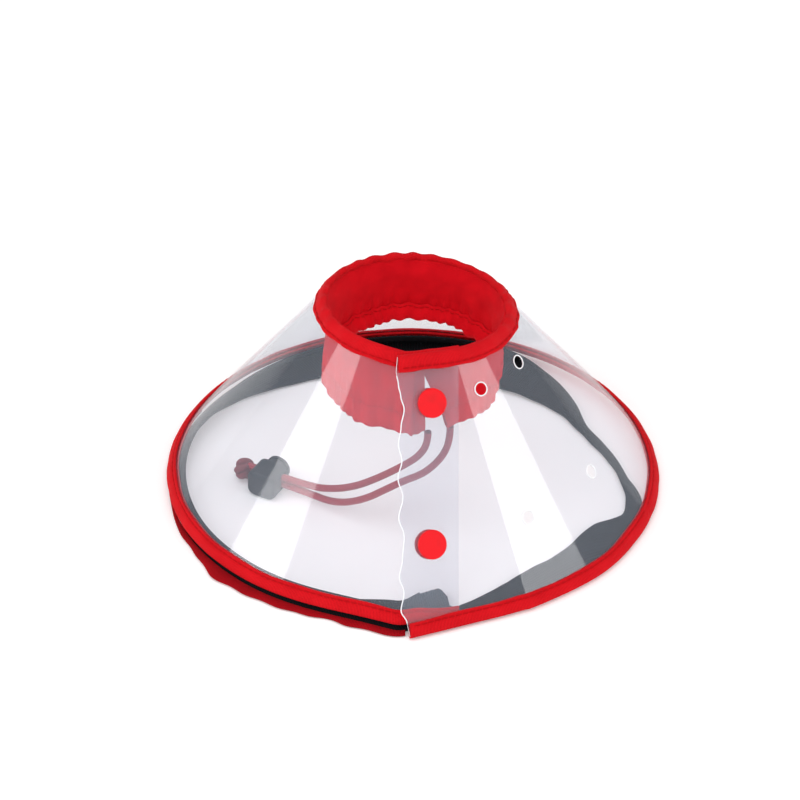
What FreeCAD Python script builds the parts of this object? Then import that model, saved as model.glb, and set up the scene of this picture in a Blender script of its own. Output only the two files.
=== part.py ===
import FreeCAD, Part
import math
import os
import Sketcher

# Elizabethan collar for a small animal: a clear plastic sheet rolled into a cone and closed by
# two press studs, with woven bindings on both edges, a gathered neck lining with a drawstring
# and cord lock, and a loose skirt inside the rim.  It stands on its wide rim.
# Millimetres.  +Z is up through the neck, -Y is the overlapped front, z = 0 is the table.

Vec = FreeCAD.Vector
doc = FreeCAD.newDocument("elizabethan_collar")
table = doc.addObject("Spreadsheet::Sheet", "Sizes")

SIZES = {
    # Plan of the rim and of the neck: an ellipse drawn out to a blunt point at the front.
    "front_slope": 0.4,
    "rim_half_width": 101.5,
    "rim_half_depth": 96.7,
    "rim_centre_x": -0.5,
    "rim_centre_y": 5.5,
    "neck_half_width": 37.8,
    "neck_half_depth": 35.4,
    "neck_centre_x": -0.4,
    "neck_centre_y": 5.7,
    "rim_height": 1.5,
    "sheet_height": 91.0,
    "sheet_thick": 0.6,
    # How the sheet closes at the front.
    "rim_rise": 4.0,
    "neck_side_tilt": 2.9,
    "neck_front_tilt": 2.5,
    "under_flap_drop": 1.0,
    "hinge_angle": 31.0,
    "hinge_gap": 0.4,
    "hinge_clearance": 0.15,
    "under_end": 19.0,
    "flap_rim_end": -1.0,
    "flap_neck_end": -6.0,
    "flap_spacing": 3.0,
    # Bindings, lining and skirt.
    "binding_thick": 0.9,
    "binding_width": 7.0,
    "binding_fold": 0.8,
    "lining_thick": 1.0,
    "lining_top_drop": 1.5,
    "lining_hem": 56.0,
    "lining_left_end": 6.6,
    "lining_right_end": 16.0,
    "lining_top_half_width": 36.2,
    "lining_top_half_depth": 32.1,
    "lining_top_centre_x": 1.2,
    "lining_top_centre_y": 8.9,
    "lining_hem_half_width": 40.5,
    "lining_hem_half_depth": 36.0,
    "lining_hem_centre_x": 0.0,
    "lining_hem_centre_y": 2.5,
    "casing_height": 9.0,
    "fold_gap": 0.25,
    "skirt_inset": 1.8,
    "skirt_width": 24.0,
    "skirt_thick": 1.2,
    # Press studs and the punched holes.
    "snap_x": 8.0,
    "upper_row_height": 77.7,
    "lower_row_height": 30.5,
    "cap_radius": 6.2,
    "seat_gap": 0.02,
    "cap_thick": 1.1,
    "cap_bevel": 0.4,
    "post_radius": 1.2,
    "post_hole_radius": 1.5,
    "stud_base_radius": 4.6,
    "stud_base_thick": 0.65,
    "stud_radius": 1.9,
    "stud_reach": 1.1,
    "socket_radius": 4.9,
    "socket_clearance": 0.35,
    "socket_floor": 0.3,
    "spare_hole_radius": 2.7,
    "spare_first_angle": 36.5,
    "spare_second_angle": 66.0,
    # Drawstring and cord lock.
    "cord_radius": 1.5,
    "cord_spacing": 3.3,
    "knot_radius": 5.0,
    "knot_height": 5.2,
    "lock_x": -58.8,
    "lock_y": 2.5,
    "lock_angle": 150.0,
    "lock_half_width": 6.4,
    "lock_half_height": 6.0,
    "lock_round": 3.4,
    "lock_edge_round": 1.2,
    "lock_front": 3.4,
    "lock_back": 8.1,
    "lock_bore_radius": 4.9,
    "lock_floor": 1.2,
    "lock_cord_clearance": 0.35,
    "button_travel": 2.5,
    "button_radius": 4.8,
    "button_wall": 1.1,
    "button_gap": 0.3,
    "button_head_radius": 5.2,
    "button_head_thick": 2.6,
    "spring_radius": 3.2,
    "spring_wire_radius": 0.25,
    "spring_turns": 4.0,
    "spring_seat_gap": 0.05,
}
for row, (alias, value) in enumerate(SIZES.items(), start=1):
    table.set(f"A{row}", alias)
    table.set(f"B{row}", str(value))
    table.setAlias(f"B{row}", alias)
doc.recompute()


def size(alias):
    """Reads one driving dimension from the sheet."""
    return float(getattr(table, alias))


# ---------------------------------------------------------------- the cone's surface

class Outline:
    """A plan curve: an ellipse drawn out to a blunt point towards -Y."""

    def __init__(self, half_width, half_depth, centre_x, centre_y):
        self.half_width = half_width
        self.half_depth = half_depth
        self.centre_x = centre_x
        self.centre_y = centre_y
        self.slope = size("front_slope")
        nose = math.hypot(half_depth, self.slope * half_width)
        self.nose_y = centre_y - nose
        self.tangent_angle = math.acos(half_depth / nose)
        self.tangent_x = half_width * math.sin(self.tangent_angle)

    def at_angle(self, degrees):
        """The point at an angle from the front, positive towards +X."""
        turn = math.radians(degrees)
        x = self.half_width * math.sin(turn)
        if math.cos(turn) > math.cos(self.tangent_angle):
            return Vec(self.centre_x + x, self.nose_y + self.slope * abs(x), 0)
        return Vec(self.centre_x + x, self.centre_y - self.half_depth * math.cos(turn), 0)

    def right_front(self, x, inset=0.0):
        """The point at x on the right front, carried on past the nose in a straight line."""
        reach = x - self.centre_x
        if reach > self.tangent_x:
            y = self.centre_y - self.half_depth * math.sqrt(1 - (reach / self.half_width) ** 2)
        else:
            y = self.nose_y + self.slope * reach
        return Vec(x, y + inset * math.sqrt(1 + self.slope ** 2), 0)

    def left_front(self, x):
        """The point at x on the straight left side of the nose."""
        return Vec(x, self.nose_y - self.slope * (x - self.centre_x), 0)

    def inner_corner(self, inset):
        """Where the straight left side meets the inset right front."""
        reach = inset * math.sqrt(1 + self.slope ** 2) / (2 * self.slope)
        return self.left_front(self.centre_x - reach)


RIM = Outline(size("rim_half_width"), size("rim_half_depth"),
              size("rim_centre_x"), size("rim_centre_y"))
NECK = Outline(size("neck_half_width"), size("neck_half_depth"),
               size("neck_centre_x"), size("neck_centre_y"))
RIM_Z = Vec(0, 0, size("rim_height"))
NECK_Z = Vec(0, 0, size("rim_height") + size("sheet_height"))
HALF_SHEET = size("sheet_thick") / 2
BINDING_OUT = HALF_SHEET + size("binding_thick")
WALL_SINE = size("sheet_height") / math.hypot(
    size("sheet_height"), size("rim_half_width") - size("neck_half_width"))


def front_normal(x):
    """The outward normal of the flat right front."""
    up = NECK.right_front(x) + NECK_Z - RIM.right_front(x) - RIM_Z
    return Vec(1, size("front_slope"), 0).cross(up).normalize()


FRONT_OUT = front_normal(size("snap_x"))
PLAN_INSET = size("flap_spacing") / math.hypot(FRONT_OUT.x, FRONT_OUT.y)


def neck_tilt(spot):
    """How much higher the neck's edge stands at a plan point than at the neck's centre."""
    side = (NECK.centre_x - spot.x) / NECK.half_width
    front = (NECK.centre_y - spot.y) / NECK.half_depth
    return size("neck_side_tilt") * side + size("neck_front_tilt") * front


class Station:
    """One generator line of the sheet, with its outward normal."""

    def __init__(self, rim, neck, rim_rise, neck_drop=0.0):
        self.rim = rim + RIM_Z
        self.neck = neck + NECK_Z
        self.rim_rise = rim_rise
        self.neck_rise = neck_tilt(neck) / WALL_SINE - neck_drop
        self.length = (self.neck - self.rim).Length

    def aim(self, rim_along, neck_along):
        """Sets the normal from the directions along the rim and the neck."""
        up = (self.neck - self.rim).normalize()
        rim_out = rim_along.cross(up).normalize()
        neck_out = neck_along.cross(up).normalize()
        self.out = (rim_out + neck_out).normalize()

    def point(self, along, out):
        """The point that far up the slope from the rim and that far outside the sheet."""
        slope = (self.neck - self.rim) / self.length
        return self.rim + slope * along + self.out * out

    def from_rim(self, along, out):
        return self.point(self.rim_rise + along, out)

    def from_neck(self, along, out):
        return self.point(self.length + self.neck_rise + along, out)


def aimed(stations, flat):
    """Sets every station's normals.  The list runs clockwise seen from above.

    flat is the slice of stations that lie on the flat right front."""
    for i, station in enumerate(stations):
        before = stations[max(i - 1, 0)]
        after = stations[min(i + 1, len(stations) - 1)]
        station.aim(before.rim - after.rim, before.neck - after.neck)
    for station in stations[flat]:
        station.out = FRONT_OUT
    return stations


def wall_stations():
    """From the under flap's end at the right front, clockwise to the bend line."""
    stations = []
    drop = size("under_flap_drop")
    for x, lift in ((size("under_end"), 0.0), (13.5, 0.1), (8.0, 0.4), (4.0, 0.7), (0.5, 0.9)):
        rim, neck = RIM.right_front(x, PLAN_INSET), NECK.right_front(x, PLAN_INSET)
        stations.append(Station(rim, neck, lift * size("rim_rise"), drop))
    blunt = Vec(0, 0.6, 0)
    rim, neck = RIM.inner_corner(PLAN_INSET) + blunt, NECK.inner_corner(PLAN_INSET) + blunt
    stations.append(Station(rim, neck, size("rim_rise"), drop / 2))
    stations.append(Station(RIM.left_front(-13.0), NECK.left_front(-9.0), size("rim_rise")))
    for turn in (16, 24, 33, 45, 60, 75, 90, 105, 120, 135, 150, 165, 180, 195, 210,
                 225, 240, 255, 270, 285, 300, 314, 360 - size("hinge_angle")):
        rise = size("rim_rise") * max(0.0, 1 - turn / 270.0)
        stations.append(Station(RIM.at_angle(-turn), NECK.at_angle(-turn), rise))
    return aimed(stations, slice(0, 5))


def flap_stations():
    """From the bend line, clockwise to the outer flap's free edge."""
    rim_start = RIM.at_angle(size("hinge_angle")).x
    neck_start = NECK.at_angle(size("hinge_angle")).x
    stations = []
    for share in (0.0, 0.1, 0.25, 0.45, 0.65, 0.85, 1.0):
        rim_x = rim_start + (size("flap_rim_end") - rim_start) * share
        neck_x = neck_start + (size("flap_neck_end") - neck_start) * share
        stations.append(Station(RIM.right_front(rim_x), NECK.right_front(neck_x), 0.0))
    return aimed(stations, slice(3, None))


def pulled_back(stations, last, gap):
    """The stations with the first or last one moved along the strip, to leave a gap."""
    end, beside = (-1, -2) if last else (0, 1)
    old, near = stations[end], stations[beside]
    rim = old.rim + (near.rim - old.rim).normalize() * gap
    neck = old.neck + (near.neck - old.neck).normalize() * gap
    fresh = Station(rim - RIM_Z, neck - NECK_Z, old.rim_rise)
    fresh.out = old.out
    stations[end] = fresh
    return stations


def strip_face(first, second):
    """The face between two curves: a flat one where both curves lie at one height."""
    box = first.BoundBox.united(second.BoundBox)
    if box.ZLength > 1e-6:
        return Part.makeRuledSurface(first, second)
    ends = [Part.makeLine(first.Vertexes[i].Point, second.Vertexes[i].Point) for i in (0, -1)]
    return Part.Face(Part.Wire([first, ends[1], second, ends[0]]))


def band(corners):
    """A closed strip: corners is a list of curves, one for each corner of its cross-section."""
    params = [float(i) for i in range(len(corners[0]))]
    curves = []
    for points in corners:
        curve = Part.BSplineCurve()
        curve.interpolate(Points=points, Parameters=params)
        curves.append(curve.toShape())
    faces = []
    for i, curve in enumerate(curves):
        faces.append(strip_face(curve, curves[(i + 1) % len(curves)]))
    for end in (0, -1):
        ring = [points[end] for points in corners]
        faces.append(Part.Face(Part.makePolygon(ring + ring[:1])))
    shell = Part.makeShell(faces)
    shell.sewShape()
    solid = Part.makeSolid(Part.Shell(shell.Faces))
    if solid.Volume < 0:
        solid.reverse()
    return solid


def feature(name, shape, placement=None):
    """Adds a piece whose shape Part's own functions make."""
    piece = doc.addObject("Part::Feature", name)
    piece.Label = name
    piece.Shape = shape
    if placement:
        piece.Placement = placement
    return piece


def sheet_solid(stations):
    """A piece of the clear sheet, from edge to edge."""
    return band([
        [s.from_rim(0, -HALF_SHEET) for s in stations],
        [s.from_rim(0, HALF_SHEET) for s in stations],
        [s.from_neck(0, HALF_SHEET) for s in stations],
        [s.from_neck(0, -HALF_SHEET) for s in stations],
    ])


def binding_solid(stations, at_neck):
    """A woven tape folded over one edge of the sheet."""
    profile = [
        (-size("binding_fold"), -BINDING_OUT),
        (-size("binding_fold"), BINDING_OUT),
        (size("binding_width"), BINDING_OUT),
        (size("binding_width"), HALF_SHEET),
        (0.0, HALF_SHEET),
        (0.0, -HALF_SHEET),
        (size("binding_width"), -HALF_SHEET),
        (size("binding_width"), -BINDING_OUT),
    ]
    corners = []
    for along, out in profile:
        if at_neck:
            corners.append([s.from_neck(-along, out) for s in stations])
        else:
            corners.append([s.from_rim(along, out) for s in stations])
    return band(corners)


WALL = pulled_back(wall_stations(), True, size("hinge_gap") / 2)
FLAP = pulled_back(flap_stations(), False, size("hinge_gap") / 2)
WALL[-1].out = FLAP[0].out = (WALL[-1].out + FLAP[0].out).normalize()


# ---------------------------------------------------------------- press studs: where they sit

def front_spot(height, depth):
    """A point on the front flap's middle plane at a height, and the outward normal there.

    depth is how far inside the outer flap's sheet the point lies."""
    share = (height - size("rim_height")) / size("sheet_height")
    rim = RIM.right_front(size("snap_x")) + RIM_Z
    neck = NECK.right_front(size("snap_x")) + NECK_Z
    return rim + (neck - rim) * share - FRONT_OUT * depth, FRONT_OUT


def placed(point, out):
    """A placement with its own Z along out."""
    return FreeCAD.Placement(point, FreeCAD.Rotation(Vec(0, 0, 1), out))


def wall_spot(angle, height):
    """A point on the wall at an angle from the front and a height, and the normal there."""
    share = (height - size("rim_height")) / size("sheet_height")

    def at(turn):
        rim = RIM.at_angle(turn) + RIM_Z
        neck = NECK.at_angle(turn) + NECK_Z
        return rim + (neck - rim) * share

    here = at(angle)
    along = at(angle + 1) - at(angle - 1)
    up = NECK.at_angle(angle) + NECK_Z - RIM.at_angle(angle) - RIM_Z
    return here, along.cross(up).normalize()


def punch(point, out, radius):
    """A short cylinder that cuts a round hole through the sheet."""
    reach = 2.0
    return Part.makeCylinder(radius, 2 * reach, point - out * reach, out)


ROWS = {"upper": size("upper_row_height"), "lower": size("lower_row_height")}
wall_shape = sheet_solid(WALL)
flap_shape = sheet_solid(FLAP)
for height in ROWS.values():
    for angle in (size("spare_first_angle"), size("spare_second_angle")):
        spot, out = wall_spot(angle, height)
        wall_shape = wall_shape.cut(punch(spot, out, size("spare_hole_radius")))
    spot, out = front_spot(height, size("flap_spacing"))
    wall_shape = wall_shape.cut(
        Part.makeCylinder(size("post_hole_radius"), 2.4, spot - out * 1.2, out))
    spot, out = front_spot(height, 0.0)
    flap_shape = flap_shape.cut(
        Part.makeCylinder(size("post_hole_radius"), 2.4, spot - out * 1.2, out))
feature("clear_sheet_wall", wall_shape)
feature("clear_sheet_flap", flap_shape)
feature("rim_binding", binding_solid(WALL, False))
feature("rim_binding_flap", binding_solid(FLAP, False))
feature("neck_binding", binding_solid(WALL, True))
feature("neck_binding_flap", binding_solid(FLAP, True))


# ---------------------------------------------------------------- neck lining and its cord

LINING_TOP = Outline(size("lining_top_half_width"), size("lining_top_half_depth"),
                     size("lining_top_centre_x"), size("lining_top_centre_y"))
LINING_HEM = Outline(size("lining_hem_half_width"), size("lining_hem_half_depth"),
                     size("lining_hem_centre_x"), size("lining_hem_centre_y"))


class LiningStation:
    """One upright line of the lining, from its hem to its top."""

    def __init__(self, angle):
        self.hem = LINING_HEM.at_angle(angle) + Vec(0, 0, size("lining_hem"))
        top = LINING_TOP.at_angle(angle)
        height = NECK_Z.z + neck_tilt(top) - size("lining_top_drop")
        self.top = top + Vec(0, 0, height)
        self.tall = height - size("lining_hem")
        self.inward = Vec()

    def aim(self, along):
        """Sets the direction into the neck from the direction along the hem."""
        self.inward = Vec(-along.y, along.x, 0).normalize()

    def at(self, height, inset):
        """The point that far above the hem and that far inside the lining's outer face."""
        return self.hem + (self.top - self.hem) * (height / self.tall) + self.inward * inset


def lining_stations():
    """From the left end, which is just past the nose, clockwise to the right end."""
    left = math.degrees(math.asin(size("lining_left_end") / size("lining_hem_half_width")))
    right = math.degrees(math.asin(size("lining_right_end") / size("lining_hem_half_width")))
    angles = [left, 4, -4, -12, -22, -34, -48, -62, -76, -90, -105, -120, -135, -150, -165,
              -180, -195, -210, -225, -240, -255, -270, -284, -298, -310, -321, -330,
              right - 360]
    stations = [LiningStation(angle) for angle in angles]
    for i, station in enumerate(stations):
        before = stations[max(i - 1, 0)]
        after = stations[min(i + 1, len(stations) - 1)]
        station.aim(before.hem - after.hem)
    return stations


LINING = lining_stations()
cloth = size("lining_thick")
channel = 2 * size("cord_radius") + 0.4
fold_in = 2 * cloth + channel
lip = cloth + size("fold_gap")
lining_profile = [
    (0.0, 0.0),
    (0.0, fold_in),
    (cloth + channel, fold_in),
    (size("casing_height"), lip),
    (size("casing_height") - 1.5 * cloth, lip),
    (cloth + 0.9 * channel, fold_in - cloth),
    (cloth, fold_in - cloth),
    (cloth, cloth),
]
corners = [[s.at(height, inset) for s in LINING] for height, inset in lining_profile]
corners.append([s.at(s.tall, cloth) for s in LINING])
corners.append([s.at(s.tall, 0.0) for s in LINING])
feature("neck_lining", band(corners))

CORD_SIDES = 8
cord_height = cloth + size("cord_radius") + 0.1
cord_inset = cloth + channel / 2
cord_profile = []
for side in range(CORD_SIDES):
    turn = 2 * math.pi * (side + 0.5) / CORD_SIDES
    cord_profile.append((cord_height + size("cord_radius") * math.sin(turn),
                         cord_inset + size("cord_radius") * math.cos(turn)))
feature("drawstring_in_hem", band([[s.at(z, inset) for s in LINING] for z, inset in cord_profile]))


# ---------------------------------------------------------------- rim skirt

def skirt_solid(stations, widths):
    """A strip hung from the rim binding down to the table and turned inward over it."""
    thick = size("skirt_thick")
    centre = Vec(RIM.centre_x, RIM.centre_y, 0)
    corners = [[], [], [], [], [], []]
    for station, width in zip(stations, widths):
        foot = Vec(station.rim.x, station.rim.y, 0)
        inward = (centre - foot).normalize()
        foot += inward * size("skirt_inset")
        top = max(thick + 0.05, station.from_rim(-size("binding_fold"), -BINDING_OUT).z - 0.1)
        outline = [(0, top), (0, 0), (width, 0), (width, thick), (thick, thick), (thick, top)]
        for corner, (inset, height) in zip(corners, outline):
            corner.append(foot + inward * inset + Vec(0, 0, height))
    return band(corners)


under = WALL[1:]
feature("rim_skirt", skirt_solid(under, [size("skirt_width")] * len(under)))
taper = [size("skirt_width") * share for share in (0.95, 0.95, 0.8, 0.4)]
feature("rim_skirt_flap", skirt_solid(FLAP[:len(taper)], taper))


# ---------------------------------------------------------------- PartDesign helpers

def body_with_sketch(name, plane, lift=None):
    """A body and a sketch on one of its origin planes, raised by an expression if given."""
    body = doc.addObject("PartDesign::Body", name)
    body.Label = name
    sketch = body.newObject("Sketcher::SketchObject", name + "_sketch")
    attach(body, sketch, plane, lift)
    return body, sketch


def attach(body, sketch, plane, lift=None):
    datum = next(o for o in body.Origin.OriginFeatures if o.Role == plane)
    sketch.AttachmentSupport = [(datum, "")]
    sketch.MapMode = "FlatFace"
    if lift:
        sketch.setExpression("AttachmentOffset.Base.z", lift.text)


class Length:
    """A length worked out from the sheet's cells: its expression and its value."""

    def __init__(self, text, value):
        self.text = text
        self.value = value

    def _with(self, sign, other, value):
        text = other.text if isinstance(other, Length) else str(other)
        return Length(f"({self.text} {sign} {text})", value)

    def __add__(self, other):
        return self._with("+", other, self.value + worth(other))

    def __sub__(self, other):
        return self._with("-", other, self.value - worth(other))

    def __mul__(self, number):
        return self._with("*", number, self.value * number)

    def __truediv__(self, number):
        return self._with("/", number, self.value / number)

    def __neg__(self):
        return Length(f"(0 - {self.text})", -self.value)


def worth(length):
    """The value of a Length or of a plain number."""
    return length.value if isinstance(length, Length) else float(length)


def cell(alias):
    """The sheet's cell as a Length."""
    return Length("Sizes." + alias, size(alias))


def hold(sketch, kind, index, point, length):
    """Holds a point at a distance from the sketch's origin, bound to the sheet's cells."""
    if abs(worth(length)) < 1e-9:
        axis = -2 if kind == "DistanceX" else -1
        sketch.addConstraint(Sketcher.Constraint("PointOnObject", index, point, axis))
        return
    number = sketch.addConstraint(
        Sketcher.Constraint(kind, -1, 1, index, point, worth(length)))
    sketch.setExpression(f"Constraints[{number}]", length.text)


def polygon(sketch, corners):
    """A closed outline whose corners are held by distances bound to the sheet's cells."""
    spots = [Vec(worth(x), worth(y), 0) for x, y in corners]
    for i, spot in enumerate(spots):
        sketch.addGeometry(Part.LineSegment(spot, spots[(i + 1) % len(spots)]), False)
    for i in range(len(spots)):
        after = (i + 1) % len(spots)
        sketch.addConstraint(Sketcher.Constraint("Coincident", i, 2, after, 1))
    for i, (x, y) in enumerate(corners):
        hold(sketch, "DistanceX", i, 1, x)
        hold(sketch, "DistanceY", i, 1, y)


def circle(sketch, radius):
    """A circle about the sketch's origin, its radius bound to the sheet's cells."""
    index = sketch.addGeometry(Part.Circle(Vec(), Vec(0, 0, 1), worth(radius)), False)
    number = sketch.addConstraint(Sketcher.Constraint("Radius", index, worth(radius)))
    sketch.setExpression(f"Constraints[{number}]", radius.text)
    sketch.addConstraint(Sketcher.Constraint("Coincident", index, 3, -1, 1))


def turned(name, corners):
    """A body of revolution about its own Z axis."""
    body, sketch = body_with_sketch(name, "XZ_Plane")
    polygon(sketch, corners)
    turn = body.newObject("PartDesign::Revolution", name + "_turn")
    turn.Profile = sketch
    turn.ReferenceAxis = (sketch, ["V_Axis"])
    turn.Angle = 360
    sketch.Visibility = False
    return body


# ---------------------------------------------------------------- press studs

half = cell("sheet_thick") / 2 + cell("seat_gap")
post = cell("post_radius")
post_end = -half - cell("stud_base_thick") / 2
stud_base = -half - cell("stud_base_thick")
stud_tip = stud_base - cell("stud_reach")
cap_face = half + cell("cap_thick")
cap_rim = cell("cap_radius")
CAP = [
    (0, post_end), (post, post_end), (post, half), (cap_rim, half),
    (cap_rim, cap_face - cell("cap_bevel")), (cap_rim - cell("cap_bevel"), cap_face),
    (0, cap_face),
]
STUD = [
    (post, -half), (cell("stud_base_radius"), -half), (cell("stud_base_radius"), stud_base),
    (cell("stud_radius"), stud_base), (cell("stud_radius"), stud_tip), (0, stud_tip),
    (0, post_end), (post, post_end),
]
socket_rim = cell("flap_spacing") + stud_base - cell("socket_clearance")
socket_floor = half + cell("socket_floor")
socket_bore = cell("stud_radius") + cell("socket_clearance")
SOCKET = [
    (post, half), (cell("socket_radius"), half), (cell("socket_radius"), socket_rim),
    (socket_bore, socket_rim), (socket_bore, socket_floor), (post, socket_floor),
]
INNER_CAP = [
    (0, socket_floor), (0, -cap_face), (cap_rim - cell("cap_bevel"), -cap_face),
    (cap_rim, -cap_face + cell("cap_bevel")), (cap_rim, -half), (post, -half),
    (post, socket_floor),
]
for row, height in ROWS.items():
    outer_place = placed(*front_spot(height, 0.0))
    inner_place = placed(*front_spot(height, size("flap_spacing")))
    for name, corners, place in (
        ("snap_cap", CAP, outer_place),
        ("snap_stud", STUD, outer_place),
        ("snap_socket", SOCKET, inner_place),
        ("snap_inner_cap", INNER_CAP, inner_place),
    ):
        turned(f"{row}_{name}", corners).Placement = place


# ---------------------------------------------------------------- cord lock
# Its own X is along the cords, its own Y is the button's axis, its own Z is up.

lock_turn = FreeCAD.Rotation(Vec(0, 0, 1), size("lock_angle") - 180)
lock_place = FreeCAD.Placement(
    Vec(size("lock_x"), size("lock_y"), size("lock_half_height")), lock_turn)
slot_tall = cell("cord_spacing") / 2 + cell("cord_radius") + cell("lock_cord_clearance")
slot_side = cell("cord_radius") + cell("lock_cord_clearance")
wide = cell("lock_half_width")
tall = cell("lock_half_height")


def rectangle(left, right, low, high):
    """The corners of an upright rectangle."""
    return [(left, low), (right, low), (right, high), (left, high)]


# The barrel's first sketch stands across the button's axis at the barrel's mouth.
barrel, sketch = body_with_sketch("cord_lock_barrel", "XZ_Plane", -cell("lock_front"))
polygon(sketch, rectangle(-wide, wide, -tall, tall))
block = barrel.newObject("PartDesign::Pad", "barrel_block")
block.Profile = sketch
block.setExpression("Length", (cell("lock_front") + cell("lock_back")).text)
doc.recompute()
sides = barrel.newObject("PartDesign::Fillet", "barrel_sides")
sides.Base = (block, [f"Edge{i}" for i, edge in enumerate(block.Shape.Edges, start=1)
                      if edge.BoundBox.YLength > 1])
sides.setExpression("Radius", "Sizes.lock_round")
doc.recompute()
ends = barrel.newObject("PartDesign::Fillet", "barrel_ends")
ends.Base = (sides, [f"Face{i}" for i, face in enumerate(sides.Shape.Faces, start=1)
                     if face.BoundBox.YLength < 1e-6])
ends.setExpression("Radius", "Sizes.lock_edge_round")
doc.recompute()
bore_sketch = barrel.newObject("Sketcher::SketchObject", "barrel_bore_sketch")
attach(barrel, bore_sketch, "XZ_Plane", -cell("lock_front"))
circle(bore_sketch, cell("lock_bore_radius"))
bore = barrel.newObject("PartDesign::Pocket", "barrel_bore")
bore.Profile = bore_sketch
bore.setExpression(
    "Length", (cell("lock_front") + cell("lock_back") - cell("lock_floor")).text)
doc.recompute()
whole = ends.Shape.Volume
if whole - bore.Shape.Volume < 1:
    bore.Reversed = True
    doc.recompute()
slot_sketch = barrel.newObject("Sketcher::SketchObject", "barrel_cord_slot_sketch")
attach(barrel, slot_sketch, "YZ_Plane")
polygon(slot_sketch, rectangle(-slot_side, slot_side, -slot_tall, slot_tall))
slot = barrel.newObject("PartDesign::Pocket", "barrel_cord_slot")
slot.Profile = slot_sketch
slot.Type = "ThroughAll"
slot.Midplane = True
barrel.Placement = lock_place

# The button: a round shaft with a slot for the cords, and a domed head outside the barrel.
shaft_end = slot_side + cell("button_wall")
head_start = cell("lock_front") + cell("button_travel") + cell("button_gap")
head_end = head_start + cell("button_head_thick")
head_rim = cell("button_head_radius")
head_dome = cell("button_head_thick") / 2
button, sketch = body_with_sketch("cord_lock_button", "XY_Plane")
polygon(sketch, [
    (0, -shaft_end), (cell("button_radius"), -shaft_end), (cell("button_radius"), head_start),
    (head_rim, head_start), (head_rim, head_end - head_dome), (head_rim - head_dome, head_end),
    (0, head_end),
])
turn = button.newObject("PartDesign::Revolution", "button_turn")
turn.Profile = sketch
turn.ReferenceAxis = (sketch, ["V_Axis"])
turn.Angle = 360
doc.recompute()
button_slot_sketch = button.newObject("Sketcher::SketchObject", "button_cord_slot_sketch")
attach(button, button_slot_sketch, "YZ_Plane")
polygon(button_slot_sketch, rectangle(
    -slot_side, slot_side + cell("button_travel"), -slot_tall, slot_tall))
button_slot = button.newObject("PartDesign::Pocket", "button_cord_slot")
button_slot.Profile = button_slot_sketch
button_slot.Type = "ThroughAll"
button_slot.Midplane = True
button.Placement = lock_place

# The spring between the bore's floor and the button's inner end.
seat = size("spring_seat_gap")
spring_start = -(size("lock_back") - size("lock_floor")) + size("spring_wire_radius") + seat
spring_end = -shaft_end.value - size("spring_wire_radius") - seat
spring_length = spring_end - spring_start
helix = Part.makeHelix(spring_length / size("spring_turns"), spring_length,
                       size("spring_radius"))
section = Part.Wire(Part.makeCircle(size("spring_wire_radius"),
                                    Vec(size("spring_radius"), 0, 0), Vec(0, 1, 0)))
coil = Part.Wire(helix.Edges).makePipeShell([section], True, True)
along_button = FreeCAD.Placement(Vec(0, spring_start, 0),
                                 FreeCAD.Rotation(Vec(1, 0, 0), -90))
feature("cord_lock_spring", coil, lock_place.multiply(along_button))


# ---------------------------------------------------------------- drawstring's free ends

def route_tube(name, points):
    """A cord's tube: straight runs joined by tangent arcs, each as large as its runs allow."""
    points = [Vec(*p) for p in points]
    runs = [b - a for a, b in zip(points, points[1:])]
    edges = []
    start = points[0]
    radii = []
    for i in range(1, len(points) - 1):
        before, after = runs[i - 1], runs[i]
        turn = before.getAngle(after)
        reach = 0.45 * min(before.Length, after.Length)
        radii.append(reach / math.tan(turn / 2))
        arc_start = points[i] - before.normalize() * reach
        arc_end = points[i] + Vec(after).normalize() * reach
        toward = (arc_start + arc_end) * 0.5 - points[i]
        sagitta = radii[-1] / math.cos(turn / 2) - radii[-1]
        middle = points[i] + toward.normalize() * sagitta
        edges.append(Part.LineSegment(start, arc_start).toShape())
        edges.append(Part.Arc(arc_start, middle, arc_end).toShape())
        start = arc_end
        runs[i - 1] = points[i] - points[i - 1]
        runs[i] = points[i + 1] - points[i]
    edges.append(Part.LineSegment(start, points[-1]).toShape())
    path = Part.Wire(edges)
    ring = Part.Wire(Part.makeCircle(size("cord_radius"), points[0], runs[0]))
    tube = path.makePipeShell([ring], True, False)
    expected = math.pi * size("cord_radius") ** 2 * path.Length
    print(name, "length", round(path.Length, 1), "radii", [round(r, 1) for r in radii],
          "volume share", round(tube.Volume / expected, 4))
    return feature(name, tube)


along_cords = lock_turn.multVec(Vec(-1, 0, 0))
lock_centre = lock_place.Base
knot_reach = size("lock_half_width") + size("knot_radius") + 0.8
knot_centre = lock_centre + along_cords * knot_reach
knot_centre.z = size("knot_height")


def through_lock(side):
    """The straight stretch through the lock, side +1 for the upper cord and -1 for the lower."""
    level = Vec(0, 0, side * size("cord_spacing") / 2)
    return [tuple(lock_centre - along_cords * 19.0 + level),
            tuple(lock_centre + along_cords * (knot_reach - 2.0) + level)]


route_tube("drawstring_left_strand", [
    (6.4, -31.8, 56.0), (6.4, -31.8, 49.8), (2.6, -31.6, 42.9), (-4.2, -29.8, 36.4),
    (-10.6, -26.2, 29.6), (-17.0, -21.8, 22.6), (-23.6, -16.8, 15.8), (-31.6, -11.8, 10.4),
] + through_lock(1))
route_tube("drawstring_right_strand", [
    (15.6, -28.2, 56.0), (15.6, -28.2, 49.0), (12.4, -30.6, 41.8), (5.2, -33.1, 35.4),
    (-3.4, -31.0, 29.8), (-11.2, -27.8, 22.6), (-18.6, -23.8, 15.0), (-26.8, -18.4, 8.4),
    (-34.4, -13.0, 4.9),
] + through_lock(-1))

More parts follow.
